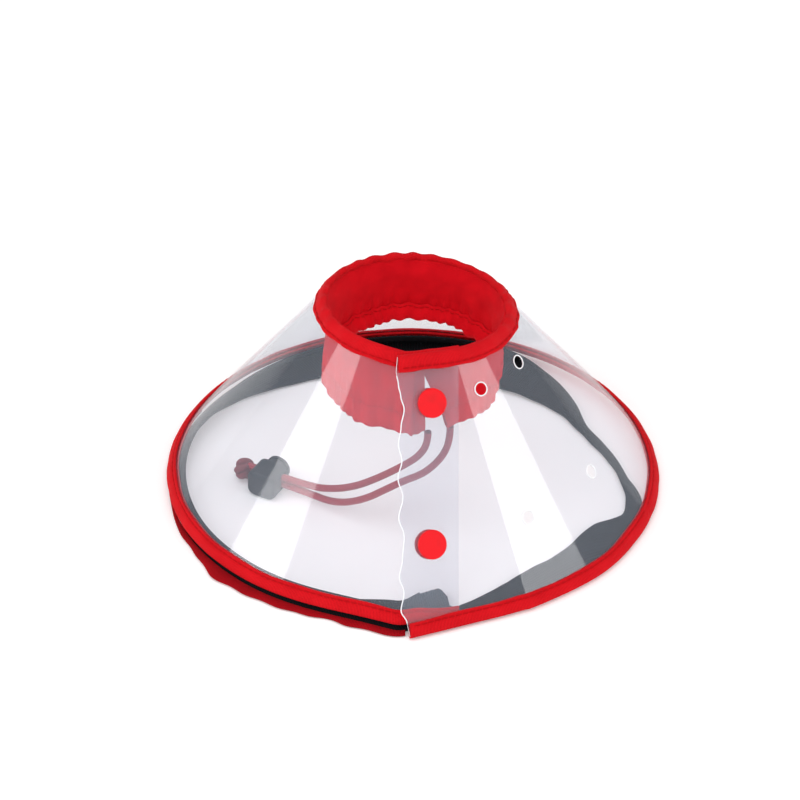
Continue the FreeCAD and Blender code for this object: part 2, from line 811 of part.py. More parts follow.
knot = doc.addObject("Part::Sphere", "drawstring_knot")
knot.Label = "drawstring_knot"
knot.setExpression("Radius", "Sizes.knot_radius")
knot.Placement = FreeCAD.Placement(knot_centre, FreeCAD.Rotation())


# ---------------------------------------------------------------- checks and files

doc.recompute()
PIECES = [
    "clear_sheet_wall", "clear_sheet_flap", "rim_binding", "rim_binding_flap",
    "neck_binding", "neck_binding_flap", "neck_lining", "rim_skirt", "rim_skirt_flap",
    "upper_snap_cap", "upper_snap_stud", "upper_snap_socket", "upper_snap_inner_cap",
    "lower_snap_cap", "lower_snap_stud", "lower_snap_socket", "lower_snap_inner_cap",
    "cord_lock_barrel", "cord_lock_button", "cord_lock_spring",
    "drawstring_in_hem", "drawstring_left_strand", "drawstring_right_strand",
    "drawstring_knot",
]
for item in doc.Objects:
    if "Invalid" in item.State or "Error" in item.State:
        raise RuntimeError(f"{item.Name} failed: {item.State}")
os.makedirs("parts", exist_ok=True)
shapes = {}
for label in PIECES:
    piece = doc.getObjectsByLabel(label)[0]
    shape = piece.Shape
    if shape.isNull() or not shape.isValid() or shape.Volume <= 0:
        raise RuntimeError(f"{label} has no valid solid")
    shapes[label] = shape
for label, shape in shapes.items():
    shape.exportStep(f"parts/{label}.step")

hinge_out = BINDING_OUT + size("hinge_clearance")
hinge = FLAP[0]
low = hinge.point(0, hinge_out)
high = hinge.point(hinge.length, hinge_out)
print("hinge point", [round(c, 3) for c in low], "direction",
      [round(c, 5) for c in (high - low).normalize()])
print("lock centre", [round(c, 3) for c in lock_centre], "along cords",
      [round(c, 5) for c in along_cords], "button axis",
      [round(c, 5) for c in lock_turn.multVec(Vec(0, 1, 0))])
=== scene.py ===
import logging
import math
from dataclasses import dataclass, field
from enum import Enum
from typing import Callable, ClassVar, Iterable, Optional, Sequence

import bmesh
import bpy
import numpy as np
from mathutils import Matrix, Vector


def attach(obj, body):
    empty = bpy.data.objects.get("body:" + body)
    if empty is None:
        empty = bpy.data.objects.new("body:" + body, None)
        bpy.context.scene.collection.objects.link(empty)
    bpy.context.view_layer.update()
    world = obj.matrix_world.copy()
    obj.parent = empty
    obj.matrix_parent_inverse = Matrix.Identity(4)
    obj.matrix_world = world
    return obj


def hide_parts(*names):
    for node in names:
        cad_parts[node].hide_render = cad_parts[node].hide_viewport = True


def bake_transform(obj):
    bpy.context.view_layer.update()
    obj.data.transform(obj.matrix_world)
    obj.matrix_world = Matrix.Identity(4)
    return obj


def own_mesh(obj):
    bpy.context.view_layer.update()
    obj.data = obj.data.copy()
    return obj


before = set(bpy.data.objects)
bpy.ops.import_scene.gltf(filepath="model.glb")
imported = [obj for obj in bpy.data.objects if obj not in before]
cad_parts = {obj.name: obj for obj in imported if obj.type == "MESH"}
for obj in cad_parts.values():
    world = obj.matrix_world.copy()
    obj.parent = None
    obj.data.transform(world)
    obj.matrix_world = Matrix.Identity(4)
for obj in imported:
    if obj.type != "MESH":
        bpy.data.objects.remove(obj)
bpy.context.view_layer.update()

# Elizabethan collar: a rolled clear sheet with woven tape on both edges, two press studs, a
# gathered red neck lining with a drawstring and cord lock, and a dark skirt under the rim.
# Shapes are worked out in millimetres and written to Blender in metres.

LOG = logging.getLogger("elizabethan_collar")
MM = 0.001
FRONT_SLOPE = 0.4
RIM_HEIGHT = 1.5
NECK_HEIGHT = 92.5
SHEET_HEIGHT = NECK_HEIGHT - RIM_HEIGHT


class Body(Enum):
    """The rigid bodies that the pieces made here ride on."""

    COLLAR = "collar"
    FLAP = "outer_flap"
    LOCK = "cord_lock"


# ------------------------------------------------------------------ the cone's surface


@dataclass(frozen=True)
class Outline:
    """A plan curve: an ellipse drawn out to a blunt point towards -Y.

    Args:
        half_width: Half the ellipse's width along X.
        half_depth: Half the ellipse's depth along Y.
        centre_x: The ellipse's centre.
        centre_y: The ellipse's centre.
    """

    half_width: float
    half_depth: float
    centre_x: float
    centre_y: float

    @property
    def nose_y(self) -> float:
        """Where the two straight front sides meet."""
        return self.centre_y - math.hypot(self.half_depth, FRONT_SLOPE * self.half_width)

    @property
    def tangent_angle(self) -> float:
        """The angle at which the straight front leaves the ellipse."""
        reach = math.hypot(self.half_depth, FRONT_SLOPE * self.half_width)
        return math.acos(self.half_depth / reach)

    def at_angle(self, degrees: float) -> Vector:
        """The point at an angle from the front, positive towards +X.

        Args:
            degrees: The angle.

        Returns:
            The point, on the floor plane.
        """
        turn = math.radians(degrees)
        x = self.half_width * math.sin(turn)
        if math.cos(turn) > math.cos(self.tangent_angle):
            return Vector((self.centre_x + x, self.nose_y + FRONT_SLOPE * abs(x), 0))
        y = self.centre_y - self.half_depth * math.cos(turn)
        return Vector((self.centre_x + x, y, 0))

    def right_front(self, x: float, inset: float = 0.0) -> Vector:
        """The point at x on the right front, carried on straight past the nose.

        Args:
            x: How far along X it is.
            inset: How far inside the outline it lies.

        Returns:
            The point, on the floor plane.
        """
        reach = x - self.centre_x
        if reach > self.half_width * math.sin(self.tangent_angle):
            fall = math.sqrt(1 - (reach / self.half_width) ** 2)
            y = self.centre_y - self.half_depth * fall
        else:
            y = self.nose_y + FRONT_SLOPE * reach
        return Vector((x, y + inset * math.hypot(1, FRONT_SLOPE), 0))

    def left_front(self, x: float) -> Vector:
        """The point at x on the straight left side of the nose."""
        return Vector((x, self.nose_y - FRONT_SLOPE * (x - self.centre_x), 0))

    def inner_corner(self, inset: float) -> Vector:
        """Where the straight left side meets the inset right front."""
        reach = inset * math.hypot(1, FRONT_SLOPE) / (2 * FRONT_SLOPE)
        return self.left_front(self.centre_x - reach)


RIM = Outline(101.5, 96.7, -0.5, 5.5)
NECK = Outline(37.8, 35.4, -0.4, 5.7)
RIM_Z = Vector((0, 0, RIM_HEIGHT))
NECK_Z = Vector((0, 0, NECK_HEIGHT))
SNAP_X = 8.0
FLAP_SPACING = 3.0
HINGE_ANGLE = 31.0
NECK_TILT_LEFT = 2.9
NECK_TILT_FRONT = 2.5


def neck_tilt(spot: Vector) -> float:
    """How much higher the neck's edge stands at a plan point than at its centre.

    Args:
        spot: The plan point.

    Returns:
        The height.
    """
    side = (NECK.centre_x - spot.x) / NECK.half_width
    front = (NECK.centre_y - spot.y) / NECK.half_depth
    return NECK_TILT_LEFT * side + NECK_TILT_FRONT * front


def front_normal(x: float) -> Vector:
    """The outward normal of the flat right front."""
    up = NECK.right_front(x) + NECK_Z - RIM.right_front(x) - RIM_Z
    return Vector((1, FRONT_SLOPE, 0)).cross(up).normalized()


FRONT_OUT = front_normal(SNAP_X)
ALONG_FRONT = Vector((1, FRONT_SLOPE, 0)).normalized()
PLAN_INSET = FLAP_SPACING / math.hypot(FRONT_OUT.x, FRONT_OUT.y)
WALL_SINE = SHEET_HEIGHT / math.hypot(SHEET_HEIGHT, RIM.half_width - NECK.half_width)


@dataclass
class Station:
    """One straight line up the cone, with its outward normal.

    Args:
        rim: The line's foot.
        neck: The line's top.
        rim_rise: How far up the line the sheet's lower edge lies.
        neck_rise: How far past the top the sheet's upper edge lies.
        out: The outward normal.
    """

    rim: Vector
    neck: Vector
    rim_rise: float
    neck_rise: float
    out: Vector = field(default_factory=lambda: Vector((0, -1, 0)))

    @property
    def length(self) -> float:
        """The line's length."""
        return (self.neck - self.rim).length

    def point(self, along: float, out: float) -> Vector:
        """The point that far up the slope from the foot and that far outside it."""
        slope = (self.neck - self.rim).normalized()
        return self.rim + slope * along + self.out * out

    def from_rim(self, along: float, out: float) -> Vector:
        """The point that far in from the sheet's lower edge."""
        return self.point(self.rim_rise + along, out)

    def from_neck(self, along: float, out: float) -> Vector:
        """The point that far past the sheet's upper edge."""
        return self.point(self.length + self.neck_rise + along, out)

    def numbers(self) -> list[float]:
        """Everything that is interpolated between stations."""
        return [*self.rim, *self.neck, self.rim_rise, self.neck_rise, *self.out]

    @classmethod
    def of(cls, row: np.ndarray) -> "Station":
        """A station from interpolated numbers."""
        return cls(Vector(row[0:3]), Vector(row[3:6]), float(row[6]), float(row[7]),
                   Vector(row[8:11]).normalized())


def station(rim: Vector, neck: Vector, rim_rise: float, neck_drop: float = 0.0) -> Station:
    """A station above plan points of the rim and the neck."""
    return Station(rim + RIM_Z, neck + NECK_Z, rim_rise,
                   neck_tilt(neck) / WALL_SINE - neck_drop)


class Run:
    """The whole sheet from its inner end, clockwise round to its outer free edge.

    A smooth curve runs through listed stations; its parameter counts them.
    """

    RIM_RISE = 4.0
    NECK_DROP = 1.0
    UNDER_LAP = ((19.0, 0.0), (13.5, 0.1), (8.0, 0.4), (4.0, 0.7), (0.5, 0.9))
    NOSE_BLUNT = 0.6
    LEFT_FRONT = (-13.0, -9.0)
    ROLL_ANGLES = (16, 24, 33, 45, 60, 75, 90, 105, 120, 135, 150, 165, 180, 195, 210, 225,
                   240, 255, 270, 285, 300, 314, 360 - HINGE_ANGLE)
    LEVEL_ANGLE = 270.0
    SEAM_ANGLE = 285
    LAP_SHARES = (0.1, 0.25, 0.45, 0.65, 0.85, 1.0)
    FREE_EDGE = (-1.0, -6.0)
    FINE_STEPS = 1200

    def __init__(self) -> None:
        """Sets the stations and fits the curve."""
        stations = self._under_lap()
        self.seam = float(len(stations) + self.ROLL_ANGLES.index(self.SEAM_ANGLE))
        stations += self._roll()
        self.hinge = float(len(stations) - 1)
        stations += self._outer_lap()
        self._aim(stations)
        self.values = np.array([s.numbers() for s in stations])
        self.last = float(len(stations) - 1)
        self.bends = self._second_derivatives()

    def _under_lap(self) -> list[Station]:
        """The part that lies under the outer lap.

        Returns:
            Its stations, from the inner end.
        """
        found = []
        for x, lift in self.UNDER_LAP:
            rim, neck = RIM.right_front(x, PLAN_INSET), NECK.right_front(x, PLAN_INSET)
            found.append(station(rim, neck, lift * self.RIM_RISE, self.NECK_DROP))
        blunt = Vector((0, self.NOSE_BLUNT, 0))
        rim = RIM.inner_corner(PLAN_INSET) + blunt
        neck = NECK.inner_corner(PLAN_INSET) + blunt
        found.append(station(rim, neck, self.RIM_RISE, self.NECK_DROP / 2))
        rim_x, neck_x = self.LEFT_FRONT
        found.append(station(RIM.left_front(rim_x), NECK.left_front(neck_x), self.RIM_RISE))
        return found

    def _roll(self) -> list[Station]:
        """The rolled wall, as far as the bend line of the outer lap.

        Returns:
            Its stations, clockwise.
        """
        found = []
        for turn in self.ROLL_ANGLES:
            rise = self.RIM_RISE * max(0.0, 1 - turn / self.LEVEL_ANGLE)
            found.append(station(RIM.at_angle(-turn), NECK.at_angle(-turn), rise))
        return found

    def _outer_lap(self) -> list[Station]:
        """From the bend line to the free edge.

        Returns:
            Its stations, clockwise.
        """
        rim_start = RIM.at_angle(HINGE_ANGLE).x
        neck_start = NECK.at_angle(HINGE_ANGLE).x
        found = []
        for share in self.LAP_SHARES:
            rim_x = rim_start + (self.FREE_EDGE[0] - rim_start) * share
            neck_x = neck_start + (self.FREE_EDGE[1] - neck_start) * share
            found.append(station(RIM.right_front(rim_x), NECK.right_front(neck_x), 0.0))
        return found

    @staticmethod
    def _aim(stations: list[Station]) -> None:
        """Sets every station's normal from its neighbours.

        Args:
            stations: All the stations, in order.
        """
        for i, here in enumerate(stations):
            before = stations[max(i - 1, 0)]
            after = stations[min(i + 1, len(stations) - 1)]
            up = (here.neck - here.rim).normalized()
            rim_out = (before.rim - after.rim).cross(up).normalized()
            neck_out = (before.neck - after.neck).cross(up).normalized()
            here.out = (rim_out + neck_out).normalized()
        for here in stations[:5] + stations[-4:]:
            here.out = FRONT_OUT.copy()

    def _second_derivatives(self) -> np.ndarray:
        """The natural cubic spline's second derivatives at the stations.

        Returns:
            One row for each station.
        """
        count = len(self.values)
        grid = np.eye(count)
        right = np.zeros_like(self.values)
        for i in range(1, count - 1):
            grid[i, i - 1:i + 2] = (1, 4, 1)
            right[i] = 6 * (self.values[i - 1] - 2 * self.values[i] + self.values[i + 1])
        return np.linalg.solve(grid, right)

    def at(self, where: float) -> Station:
        """The station at a parameter value.

        Args:
            where: The parameter value.

        Returns:
            The station there.
        """
        i = min(int(where), len(self.values) - 2)
        b = where - i
        a = 1 - b
        row = (a * self.values[i] + b * self.values[i + 1]
               + ((a ** 3 - a) * self.bends[i] + (b ** 3 - b) * self.bends[i + 1]) / 6)
        return Station.of(row)

    def steps(self, first: float, last: float, pitch: float,
              at_neck: bool = False) -> list[float]:
        """Parameter values about evenly spaced along the rim or the neck.

        Args:
            first: The parameter to start at.
            last: The parameter to end at.
            pitch: The spacing wanted, in millimetres.
            at_neck: True to space them along the neck.

        Returns:
            The values, both ends included.
        """
        fine = np.linspace(first, last, self.FINE_STEPS)
        spots = [self.at(w).neck if at_neck else self.at(w).rim for w in fine]
        gaps = [0.0] + [(b - a).length for a, b in zip(spots, spots[1:])]
        reach = np.cumsum(gaps)
        count = max(2, round(reach[-1] / pitch))
        return list(np.interp(np.linspace(0, reach[-1], count + 1), reach, fine))


RUN = Run()


def angle_of(spot: Vector) -> float:
    """The angle of a plan point from the front, in degrees, positive towards +X."""
    return math.degrees(math.atan2(spot.x, -(spot.y - RIM.centre_y)))


def smooth(share: float) -> float:
    """An S-shaped ramp from 0 to 1."""
    share = min(1.0, max(0.0, share))
    return share * share * (3 - 2 * share)


# ------------------------------------------------------------------ meshes


class Loft:
    """Gathers grids of points and turns them into one mesh with a map along the cloth."""

    def __init__(self, name: str) -> None:
        """Starts an empty mesh.

        Args:
            name: The piece's name.
        """
        self.name = name
        self.points: list[Vector] = []
        self.faces: list[tuple[int, ...]] = []
        self.maps: list[tuple[tuple[float, float], ...]] = []
        self.slots: list[int] = []

    def grid(self, columns: Sequence[Sequence[Vector]], slot: int = 0,
             slots: Optional[Sequence[int]] = None, caps: Optional[int] = None,
             round_run: bool = False) -> None:
        """Adds a strip made of columns of points, each joined to a ring.

        Args:
            columns: The cross-sections, all of one length.
            slot: The material slot of every face.
            slots: A material slot for each side of the section instead.
            caps: The material slot of the end faces, or None to leave the ends open.
            round_run: True to join the last section to the first.
        """
        base = len(self.points)
        count, tall = len(columns), len(columns[0])
        across = [0.0]
        middle = columns[count // 2]
        for i in range(tall):
            across.append(across[-1] + (middle[(i + 1) % tall] - middle[i]).length)
        along = [0.0]
        for a, b in zip(columns, list(columns[1:]) + [columns[0]]):
            along.append(along[-1] + (b[0] - a[0]).length)
        for column in columns:
            self.points.extend(column)
        for i in range(count if round_run else count - 1):
            for j in range(tall):
                n, m = (i + 1) % count, (j + 1) % tall
                self.faces.append((base + i * tall + j, base + n * tall + j,
                                   base + n * tall + m, base + i * tall + m))
                self.maps.append(((along[i], across[j]), (along[i + 1], across[j]),
                                  (along[i + 1], across[j + 1]), (along[i], across[j + 1])))
                self.slots.append(slots[j] if slots else slot)
        if caps is None:
            return
        for end in (0, count - 1):
            ring = [base + end * tall + j for j in range(tall)]
            ring = ring if end else ring[::-1]
            self.faces.append(tuple(ring))
            self.maps.append(tuple((0.0, across[j]) for j in range(tall)))
            self.slots.append(caps)

    def strip_cap(self, columns: Sequence[Sequence[Vector]], end: int, slot: int) -> None:
        """Closes one end of a flat section with a strip of quads.

        Args:
            columns: The sections that the last grid joined.
            end: 0 for the first section, -1 for the last.
            slot: The strip's material slot.
        """
        count, tall = len(columns), len(columns[0])
        base = len(self.points) - count * tall + (0 if end == 0 else (count - 1) * tall)
        for j in range(tall // 2 - 1):
            quad = (base + j, base + j + 1, base + tall - 2 - j, base + tall - 1 - j)
            self.faces.append(quad if end == 0 else quad[::-1])
            self.maps.append(((0.0, float(j)),) * 4)
            self.slots.append(slot)

    def tube(self, path: Sequence[Vector], radius: Callable[[float], float] | float,
             sides: int = 8, slot: int = 0, closed: bool = False) -> None:
        """Adds a round tube along a path.

        Args:
            path: The points it follows.
            radius: Its radius, or a function of the share of the way along.
            sides: How many sides it has.
            slot: Its material slot.
            closed: True for a ring.
        """
        count = len(path)
        frames = []
        side = Vector((0.37, 0.21, 0.9))
        for i, spot in enumerate(path):
            before = path[(i - 1) % count] if closed or i else path[0]
            after = path[(i + 1) % count] if closed or i < count - 1 else path[-1]
            ahead = (after - before).normalized()
            side = (side - ahead * side.dot(ahead)).normalized()
            frames.append((side.copy(), ahead.cross(side)))
        columns = []
        for i, (spot, (one, two)) in enumerate(zip(path, frames)):
            wide = radius(i / max(1, count - 1)) if callable(radius) else radius
            columns.append([spot + (one * math.cos(t) + two * math.sin(t)) * wide
                            for t in (2 * math.pi * k / sides for k in range(sides))])
        self.grid(columns, slot=slot, caps=None if closed else slot, round_run=closed)

    def build(self, finishes: Sequence["Finish"], sharp: float = 50.0) -> bpy.types.Object:
        """Writes the mesh, in metres.

        Args:
            finishes: The finish of each material slot.
            sharp: Edges that turn by more than this many degrees stay sharp.

        Returns:
            The new object.
        """
        mesh = bpy.data.meshes.new(self.name)
        mesh.from_pydata([tuple(p * MM) for p in self.points], [], self.faces)
        layer = mesh.uv_layers.new(name="cloth")
        flat = [pair for face in self.maps for pair in face]
        layer.data.foreach_set("uv", [value for pair in flat for value in pair])
        mesh.polygons.foreach_set("material_index", self.slots)
        for finish in finishes:
            mesh.materials.append(finish.material())
        mesh.validate()
        form = bmesh.new()
        form.from_mesh(mesh)
        bmesh.ops.recalc_face_normals(form, faces=form.faces)
        form.to_mesh(mesh)
        form.free()
        mesh.update()
        mesh.shade_smooth()
        mesh.set_sharp_from_angle(angle=math.radians(sharp))
        piece = bpy.data.objects.new(self.name, mesh)
        bpy.context.scene.collection.objects.link(piece)
        LOG.info("%s: %d faces", self.name, len(self.faces))
        return piece


# ------------------------------------------------------------------ finishes


Socket = bpy.types.NodeSocket
Value = Socket | float
CLOTH_GLOSS = 0.06


class Graph:
    """A material's nodes, added and joined in one call each."""

    def __init__(self, name: str) -> None:
        """Starts an empty material.

        Args:
            name: The material's name.
        """
        self.material = bpy.data.materials.new(name)
        self.material.use_nodes = True
        self.tree = self.material.node_tree
        self.tree.nodes.clear()

    def add(self, kind: str, sockets: Optional[dict] = None,
            **settings: object) -> bpy.types.Node:
        """Adds a node.

        Args:
            kind: The node's type, without its ShaderNode prefix.
            sockets: What goes into each input: an output socket, or a plain value.
            settings: The node's own settings.

        Returns:
            The node.
        """
        node = self.tree.nodes.new("ShaderNode" + kind)
        for key, value in settings.items():
            setattr(node, key, value)
        for key, value in (sockets or {}).items():
            if isinstance(value, bpy.types.NodeSocket):
                self.tree.links.new(value, node.inputs[key])
            else:
                node.inputs[key].default_value = value
        return node

    def math(self, operation: str, *values: Value) -> Socket:
        """A Math node's result."""
        return self.add("Math", dict(enumerate(values)), operation=operation).outputs[0]

    def noise(self, coords: Socket, scale: float, detail: float = 3.0) -> Socket:
        """A noise texture's grey value."""
        node = self.add("TexNoise", {"Vector": coords, "Scale": scale, "Detail": detail})
        return node.outputs["Fac"]

    def ramp(self, value: Socket, low: tuple, high: tuple,
             start: float = 0.0, end: float = 1.0) -> Socket:
        """A colour that runs from low to high as a value goes from start to end.

        Args:
            value: The value.
            low: The colour at the start.
            high: The colour at the end.
            start: Where the ramp starts.
            end: Where it ends.

        Returns:
            The colour.
        """
        node = self.add("ValToRGB", {"Fac": value})
        node.color_ramp.elements[0].position, node.color_ramp.elements[1].position = start, end
        node.color_ramp.elements[0].color = (*low, 1)
        node.color_ramp.elements[1].color = (*high, 1)
        return node.outputs["Color"]

    def bump(self, height: Socket, distance: float, strength: float = 1.0) -> Socket:
        """A normal bent by a height."""
        node = self.add("Bump", {"Height": height, "Distance": distance, "Strength": strength})
        return node.outputs["Normal"]

    def finish(self, shader: Socket) -> bpy.types.Material:
        """Joins a shader to the output."""
        self.add("OutputMaterial", {"Surface": shader})
        return self.material

    def place(self) -> tuple[Socket, Socket, Socket]:
        """The cloth map.

        Returns:
            The distances along and across the cloth, in millimetres, and the map itself.
        """
        where = self.add("UVMap", uv_map="cloth").outputs["UV"]
        split = self.add("SeparateXYZ", {0: where})
        return split.outputs[0], split.outputs[1], where


class Finish:
    """A finish that makes its material once."""

    made: ClassVar[dict] = {}

    def material(self) -> bpy.types.Material:
        """Makes the material, or finds it where it is made already.

        Returns:
            The finish's material.
        """
        if self not in Finish.made:
            Finish.made[self] = self.dress()
        return Finish.made[self]

    def dress(self) -> bpy.types.Material:
        """Builds the material."""
        raise NotImplementedError


@dataclass(frozen=True)
class Webbing(Finish):
    """Narrow woven tape with cross ribs.

    Args:
        name: The material's name.
        light: The colour on the ribs.
        dark: The colour between them, darkened as painted shade in the grooves.
        rib: The ribs' spacing in millimetres.
        relief: The ribs' height in metres.
        yarn: The spacing of the yarns along the tape, in millimetres.
    """

    name: str
    light: tuple
    dark: tuple
    rib: float = 0.62
    relief: float = 0.00016
    yarn: float = 0.34

    def dress(self) -> bpy.types.Material:
        """Ribs across the tape, finer yarns along it, a little unevenness and fuzz, and painted
        shade in the grooves.

        Returns:
            The new material.
        """
        g = Graph(self.name)
        along, across, where = g.place()
        rib = g.math("ABSOLUTE", g.math("SINE", g.math("MULTIPLY", along, math.pi / self.rib)))
        yarn = g.math("SINE", g.math("MULTIPLY", across, 2 * math.pi / self.yarn))
        fuzz = g.noise(where, 3.2, 5.0)
        patch = g.noise(where, 0.09, 2.0)
        height = g.math("MULTIPLY_ADD", yarn, 0.16, g.math("MULTIPLY_ADD", fuzz, 0.5, rib))
        # The colour follows the height, so the grooves between ribs and yarns carry painted shade;
        # the slow patches are random uneven tone.
        shade = g.math("MULTIPLY_ADD", patch, 0.5, g.math("MULTIPLY", height, 0.45))
        colour = g.ramp(shade, self.dark, self.light, 0.25, 0.95)
        shader = g.add("BsdfPrincipled", {
            "Base Color": colour, "Roughness": g.math("MULTIPLY_ADD", fuzz, 0.2, 0.58),
            "Specular IOR Level": CLOTH_GLOSS, "Sheen Weight": 0.06, "Sheen Roughness": 0.4,
            "Sheen Tint": (1.0, 0.25, 0.25, 1.0), "Normal": g.bump(height, self.relief),
        })
        return g.finish(shader.outputs[0])


@dataclass(frozen=True)
class PlainWeave(Finish):
    """A light plain-woven cloth.

    Args:
        name: The material's name.
        light: The colour of its high yarns.
        dark: The colour between them, darkened as painted shade.
        yarn: The yarns' spacing in millimetres.
        twill: How far the pattern slants, 0 for a plain weave.
        relief: The yarns' height in metres.
        sheen: How much its fuzz lights up at a glance.
    """

    name: str
    light: tuple
    dark: tuple
    yarn: float = 0.5
    twill: float = 0.0
    relief: float = 0.0001
    sheen: float = 0.2

    def dress(self) -> bpy.types.Material:
        """Crossed yarns with painted shade between them, slow uneven tone, and fine fuzz.

        Returns:
            The new material.
        """
        g = Graph(self.name)
        along, across, where = g.place()
        pitch = 2 * math.pi / self.yarn
        slanted = g.math("MULTIPLY_ADD", across, self.twill, along)
        one = g.math("SINE", g.math("MULTIPLY", slanted, pitch))
        two = g.math("SINE", g.math("MULTIPLY", across, pitch if not self.twill else pitch / 3))
        weave = g.math("MULTIPLY", one, two) if not self.twill else g.math(
            "MULTIPLY_ADD", two, 0.25, one)
        fuzz = g.noise(where, 2.2, 5.0)
        slow_tone = g.noise(where, 0.12, 4.0)
        height = g.math("MULTIPLY_ADD", fuzz, 0.7, g.math("MULTIPLY_ADD", weave, 0.4, 0.4))
        # The colour follows the height, so the hollows between yarns carry painted shade; the slow
        # noise is random uneven tone.
        shade = g.math("MULTIPLY_ADD", slow_tone, 0.6, g.math("MULTIPLY", height, 0.4))
        colour = g.ramp(shade, self.dark, self.light, 0.25, 0.9)
        shader = g.add("BsdfPrincipled", {
            "Base Color": colour, "Roughness": g.math("MULTIPLY_ADD", fuzz, 0.18, 0.66),
            "Specular IOR Level": CLOTH_GLOSS, "Sheen Weight": self.sheen,
            "Sheen Roughness": 0.45,
            "Normal": g.bump(height, self.relief),
        })
        return g.finish(shader.outputs[0])


@dataclass(frozen=True)
class Moulded(Finish):
    """Injection-moulded plastic.

    Args:
        name: The material's name.
        colour: Its colour.
        scuffed: Its colour where it is scuffed.
        roughness: How rough it is.
        grain: The moulded grain's height in metres.
        coat: How much of a gloss coat lies on it.
        gloss: How strongly it reflects.
    """

    name: str
    colour: tuple
    scuffed: tuple
    roughness: float
    grain: float
    coat: float = 0.0
    gloss: float = 0.4

    def dress(self) -> bpy.types.Material:
        """Fine grain, uneven gloss and faint scuffs.

        Returns:
            The new material.
        """
        g = Graph(self.name)
        where = g.add("TexCoord").outputs["Object"]
        grain = g.noise(where, 2600.0, 2.0)
        wear = g.noise(where, 160.0, 5.0)
        colour = g.ramp(wear, self.colour, self.scuffed, 0.52, 0.78)
        shader = g.add("BsdfPrincipled", {
            "Base Color": colour, "Coat Weight": self.coat, "Coat Roughness": 0.12,
            "Specular IOR Level": self.gloss,
            "Roughness": g.math("MULTIPLY_ADD", wear, 0.16, self.roughness - 0.06),
            "Normal": g.bump(grain, self.grain, 0.6),
        })
        return g.finish(shader.outputs[0])


@dataclass(frozen=True)
class ClearSheet(Finish):
    """Clear soft plastic sheet: it passes light straight on, with a faint haze and gloss.

    Args:
        name: The material's name.
        tint: What one face of it lets through.
        haze: The colour of its haze.
        haze_share: How much of the light one face scatters.
    """

    name: str
    tint: tuple
    haze: tuple
    haze_share: float

    def dress(self) -> bpy.types.Material:
        """A see-through shader with a thin haze and a mirror that grows towards the edge.

        Returns:
            The new material.
        """
        g = Graph(self.name)
        where = g.add("TexCoord").outputs["Object"]
        handling = g.noise(where, 26.0, 5.0)
        clear = g.add("BsdfTransparent", {"Color": (*self.tint, 1)})
        milky = g.add("BsdfDiffuse", {"Color": (*self.haze, 1)})
        share = g.math("MULTIPLY_ADD", handling, self.haze_share * 0.6, self.haze_share * 0.7)
        body = g.add("MixShader", {0: share, 1: clear.outputs[0], 2: milky.outputs[0]})
        gloss = g.add("BsdfGlossy", {
            "Color": (1, 1, 1, 1), "Roughness": 0.07,
            "Normal": g.bump(g.noise(where, 9.0, 1.0), 0.0006, 0.12),
        })
        facing = g.add("LayerWeight", {"Blend": 0.5}).outputs["Facing"]
        edge = g.math("POWER", facing, 5.0)
        mirror = g.math("MULTIPLY_ADD", edge, 0.4, 0.04)
        return g.finish(g.add("MixShader", {
            0: mirror, 1: body.outputs[0], 2: gloss.outputs[0]}).outputs[0])


@dataclass(frozen=True)
class Wire(Finish):
    """Drawn spring wire."""

    name: str

    def dress(self) -> bpy.types.Material:
        """Bright steel with fine drawing lines.

        Returns:
            The new material.
        """
        g = Graph(self.name)
        where = g.add("TexCoord").outputs["Object"]
        lines = g.noise(where, 1800.0, 3.0)
        shader = g.add("BsdfPrincipled", {
            "Base Color": g.ramp(lines, (0.42, 0.42, 0.43), (0.66, 0.66, 0.66)),
            "Metallic": 1.0, "Roughness": g.math("MULTIPLY_ADD", lines, 0.2, 0.2),
        })
        return g.finish(shader.outputs[0])


@dataclass(frozen=True)
class Braid(Finish):
    """Braided cord.

    Args:
        name: The material's name.
        light: The colour on the strands.
        dark: The colour between them, darkened as painted shade.
        turns: How many plaits go round the cord.
        stretch: How many plaits go along each unit of the map.
    """

    name: str
    light: tuple
    dark: tuple
    turns: float = 8.0
    stretch: float = 60.0

    def dress(self) -> bpy.types.Material:
        """Two crossed sets of strands round the cord, with painted shade in the gaps between them.

        Returns:
            The new material.
        """
        g = Graph(self.name)
        split = g.add("SeparateXYZ", {0: g.add("TexCoord").outputs["UV"]})
        long = g.math("MULTIPLY", split.outputs[0], self.stretch * 2 * math.pi)
        turn = g.math("MULTIPLY", split.outputs[1], self.turns * 2 * math.pi)
        one = g.math("SINE", g.math("ADD", long, turn))
        two = g.math("SINE", g.math("SUBTRACT", long, turn))
        height = g.math("MAXIMUM", one, two)
        fuzz = g.noise(g.add("TexCoord").outputs["Object"], 2400.0, 4.0)
        # The colour follows the strands' height, so the gaps between them carry painted shade; the
        # fuzz adds random uneven tone.
        shade = g.math("MULTIPLY_ADD", fuzz, 0.5, g.math("MULTIPLY_ADD", height, 0.25, 0.3))
        shader = g.add("BsdfPrincipled", {
            "Base Color": g.ramp(shade, self.dark, self.light, 0.2, 0.9),
            "Roughness": g.math("MULTIPLY_ADD", fuzz, 0.2, 0.6),
            "Sheen Weight": 0.25, "Normal": g.bump(g.math("ADD", height, fuzz), 0.00014),
        })
        return g.finish(shader.outputs[0])


@dataclass(frozen=True)
class Paper(Finish):
    """The pale studio floor."""

    name: str

    def dress(self) -> bpy.types.Material:
        """Matt white paper with a barely seen tooth.

        Returns:
            The new material.
        """
        g = Graph(self.name)
        tooth = g.noise(g.add("TexCoord").outputs["Object"], 700.0, 3.0)
        shader = g.add("BsdfPrincipled", {
            "Base Color": g.ramp(tooth, (0.93, 0.93, 0.93), (0.96, 0.96, 0.96)),
            "Roughness": 0.9, "Normal": g.bump(tooth, 0.0001, 0.3),
            "Emission Color": (1.0, 1.0, 1.0, 1.0), "Emission Strength": 0.14,
        })
        return g.finish(shader.outputs[0])


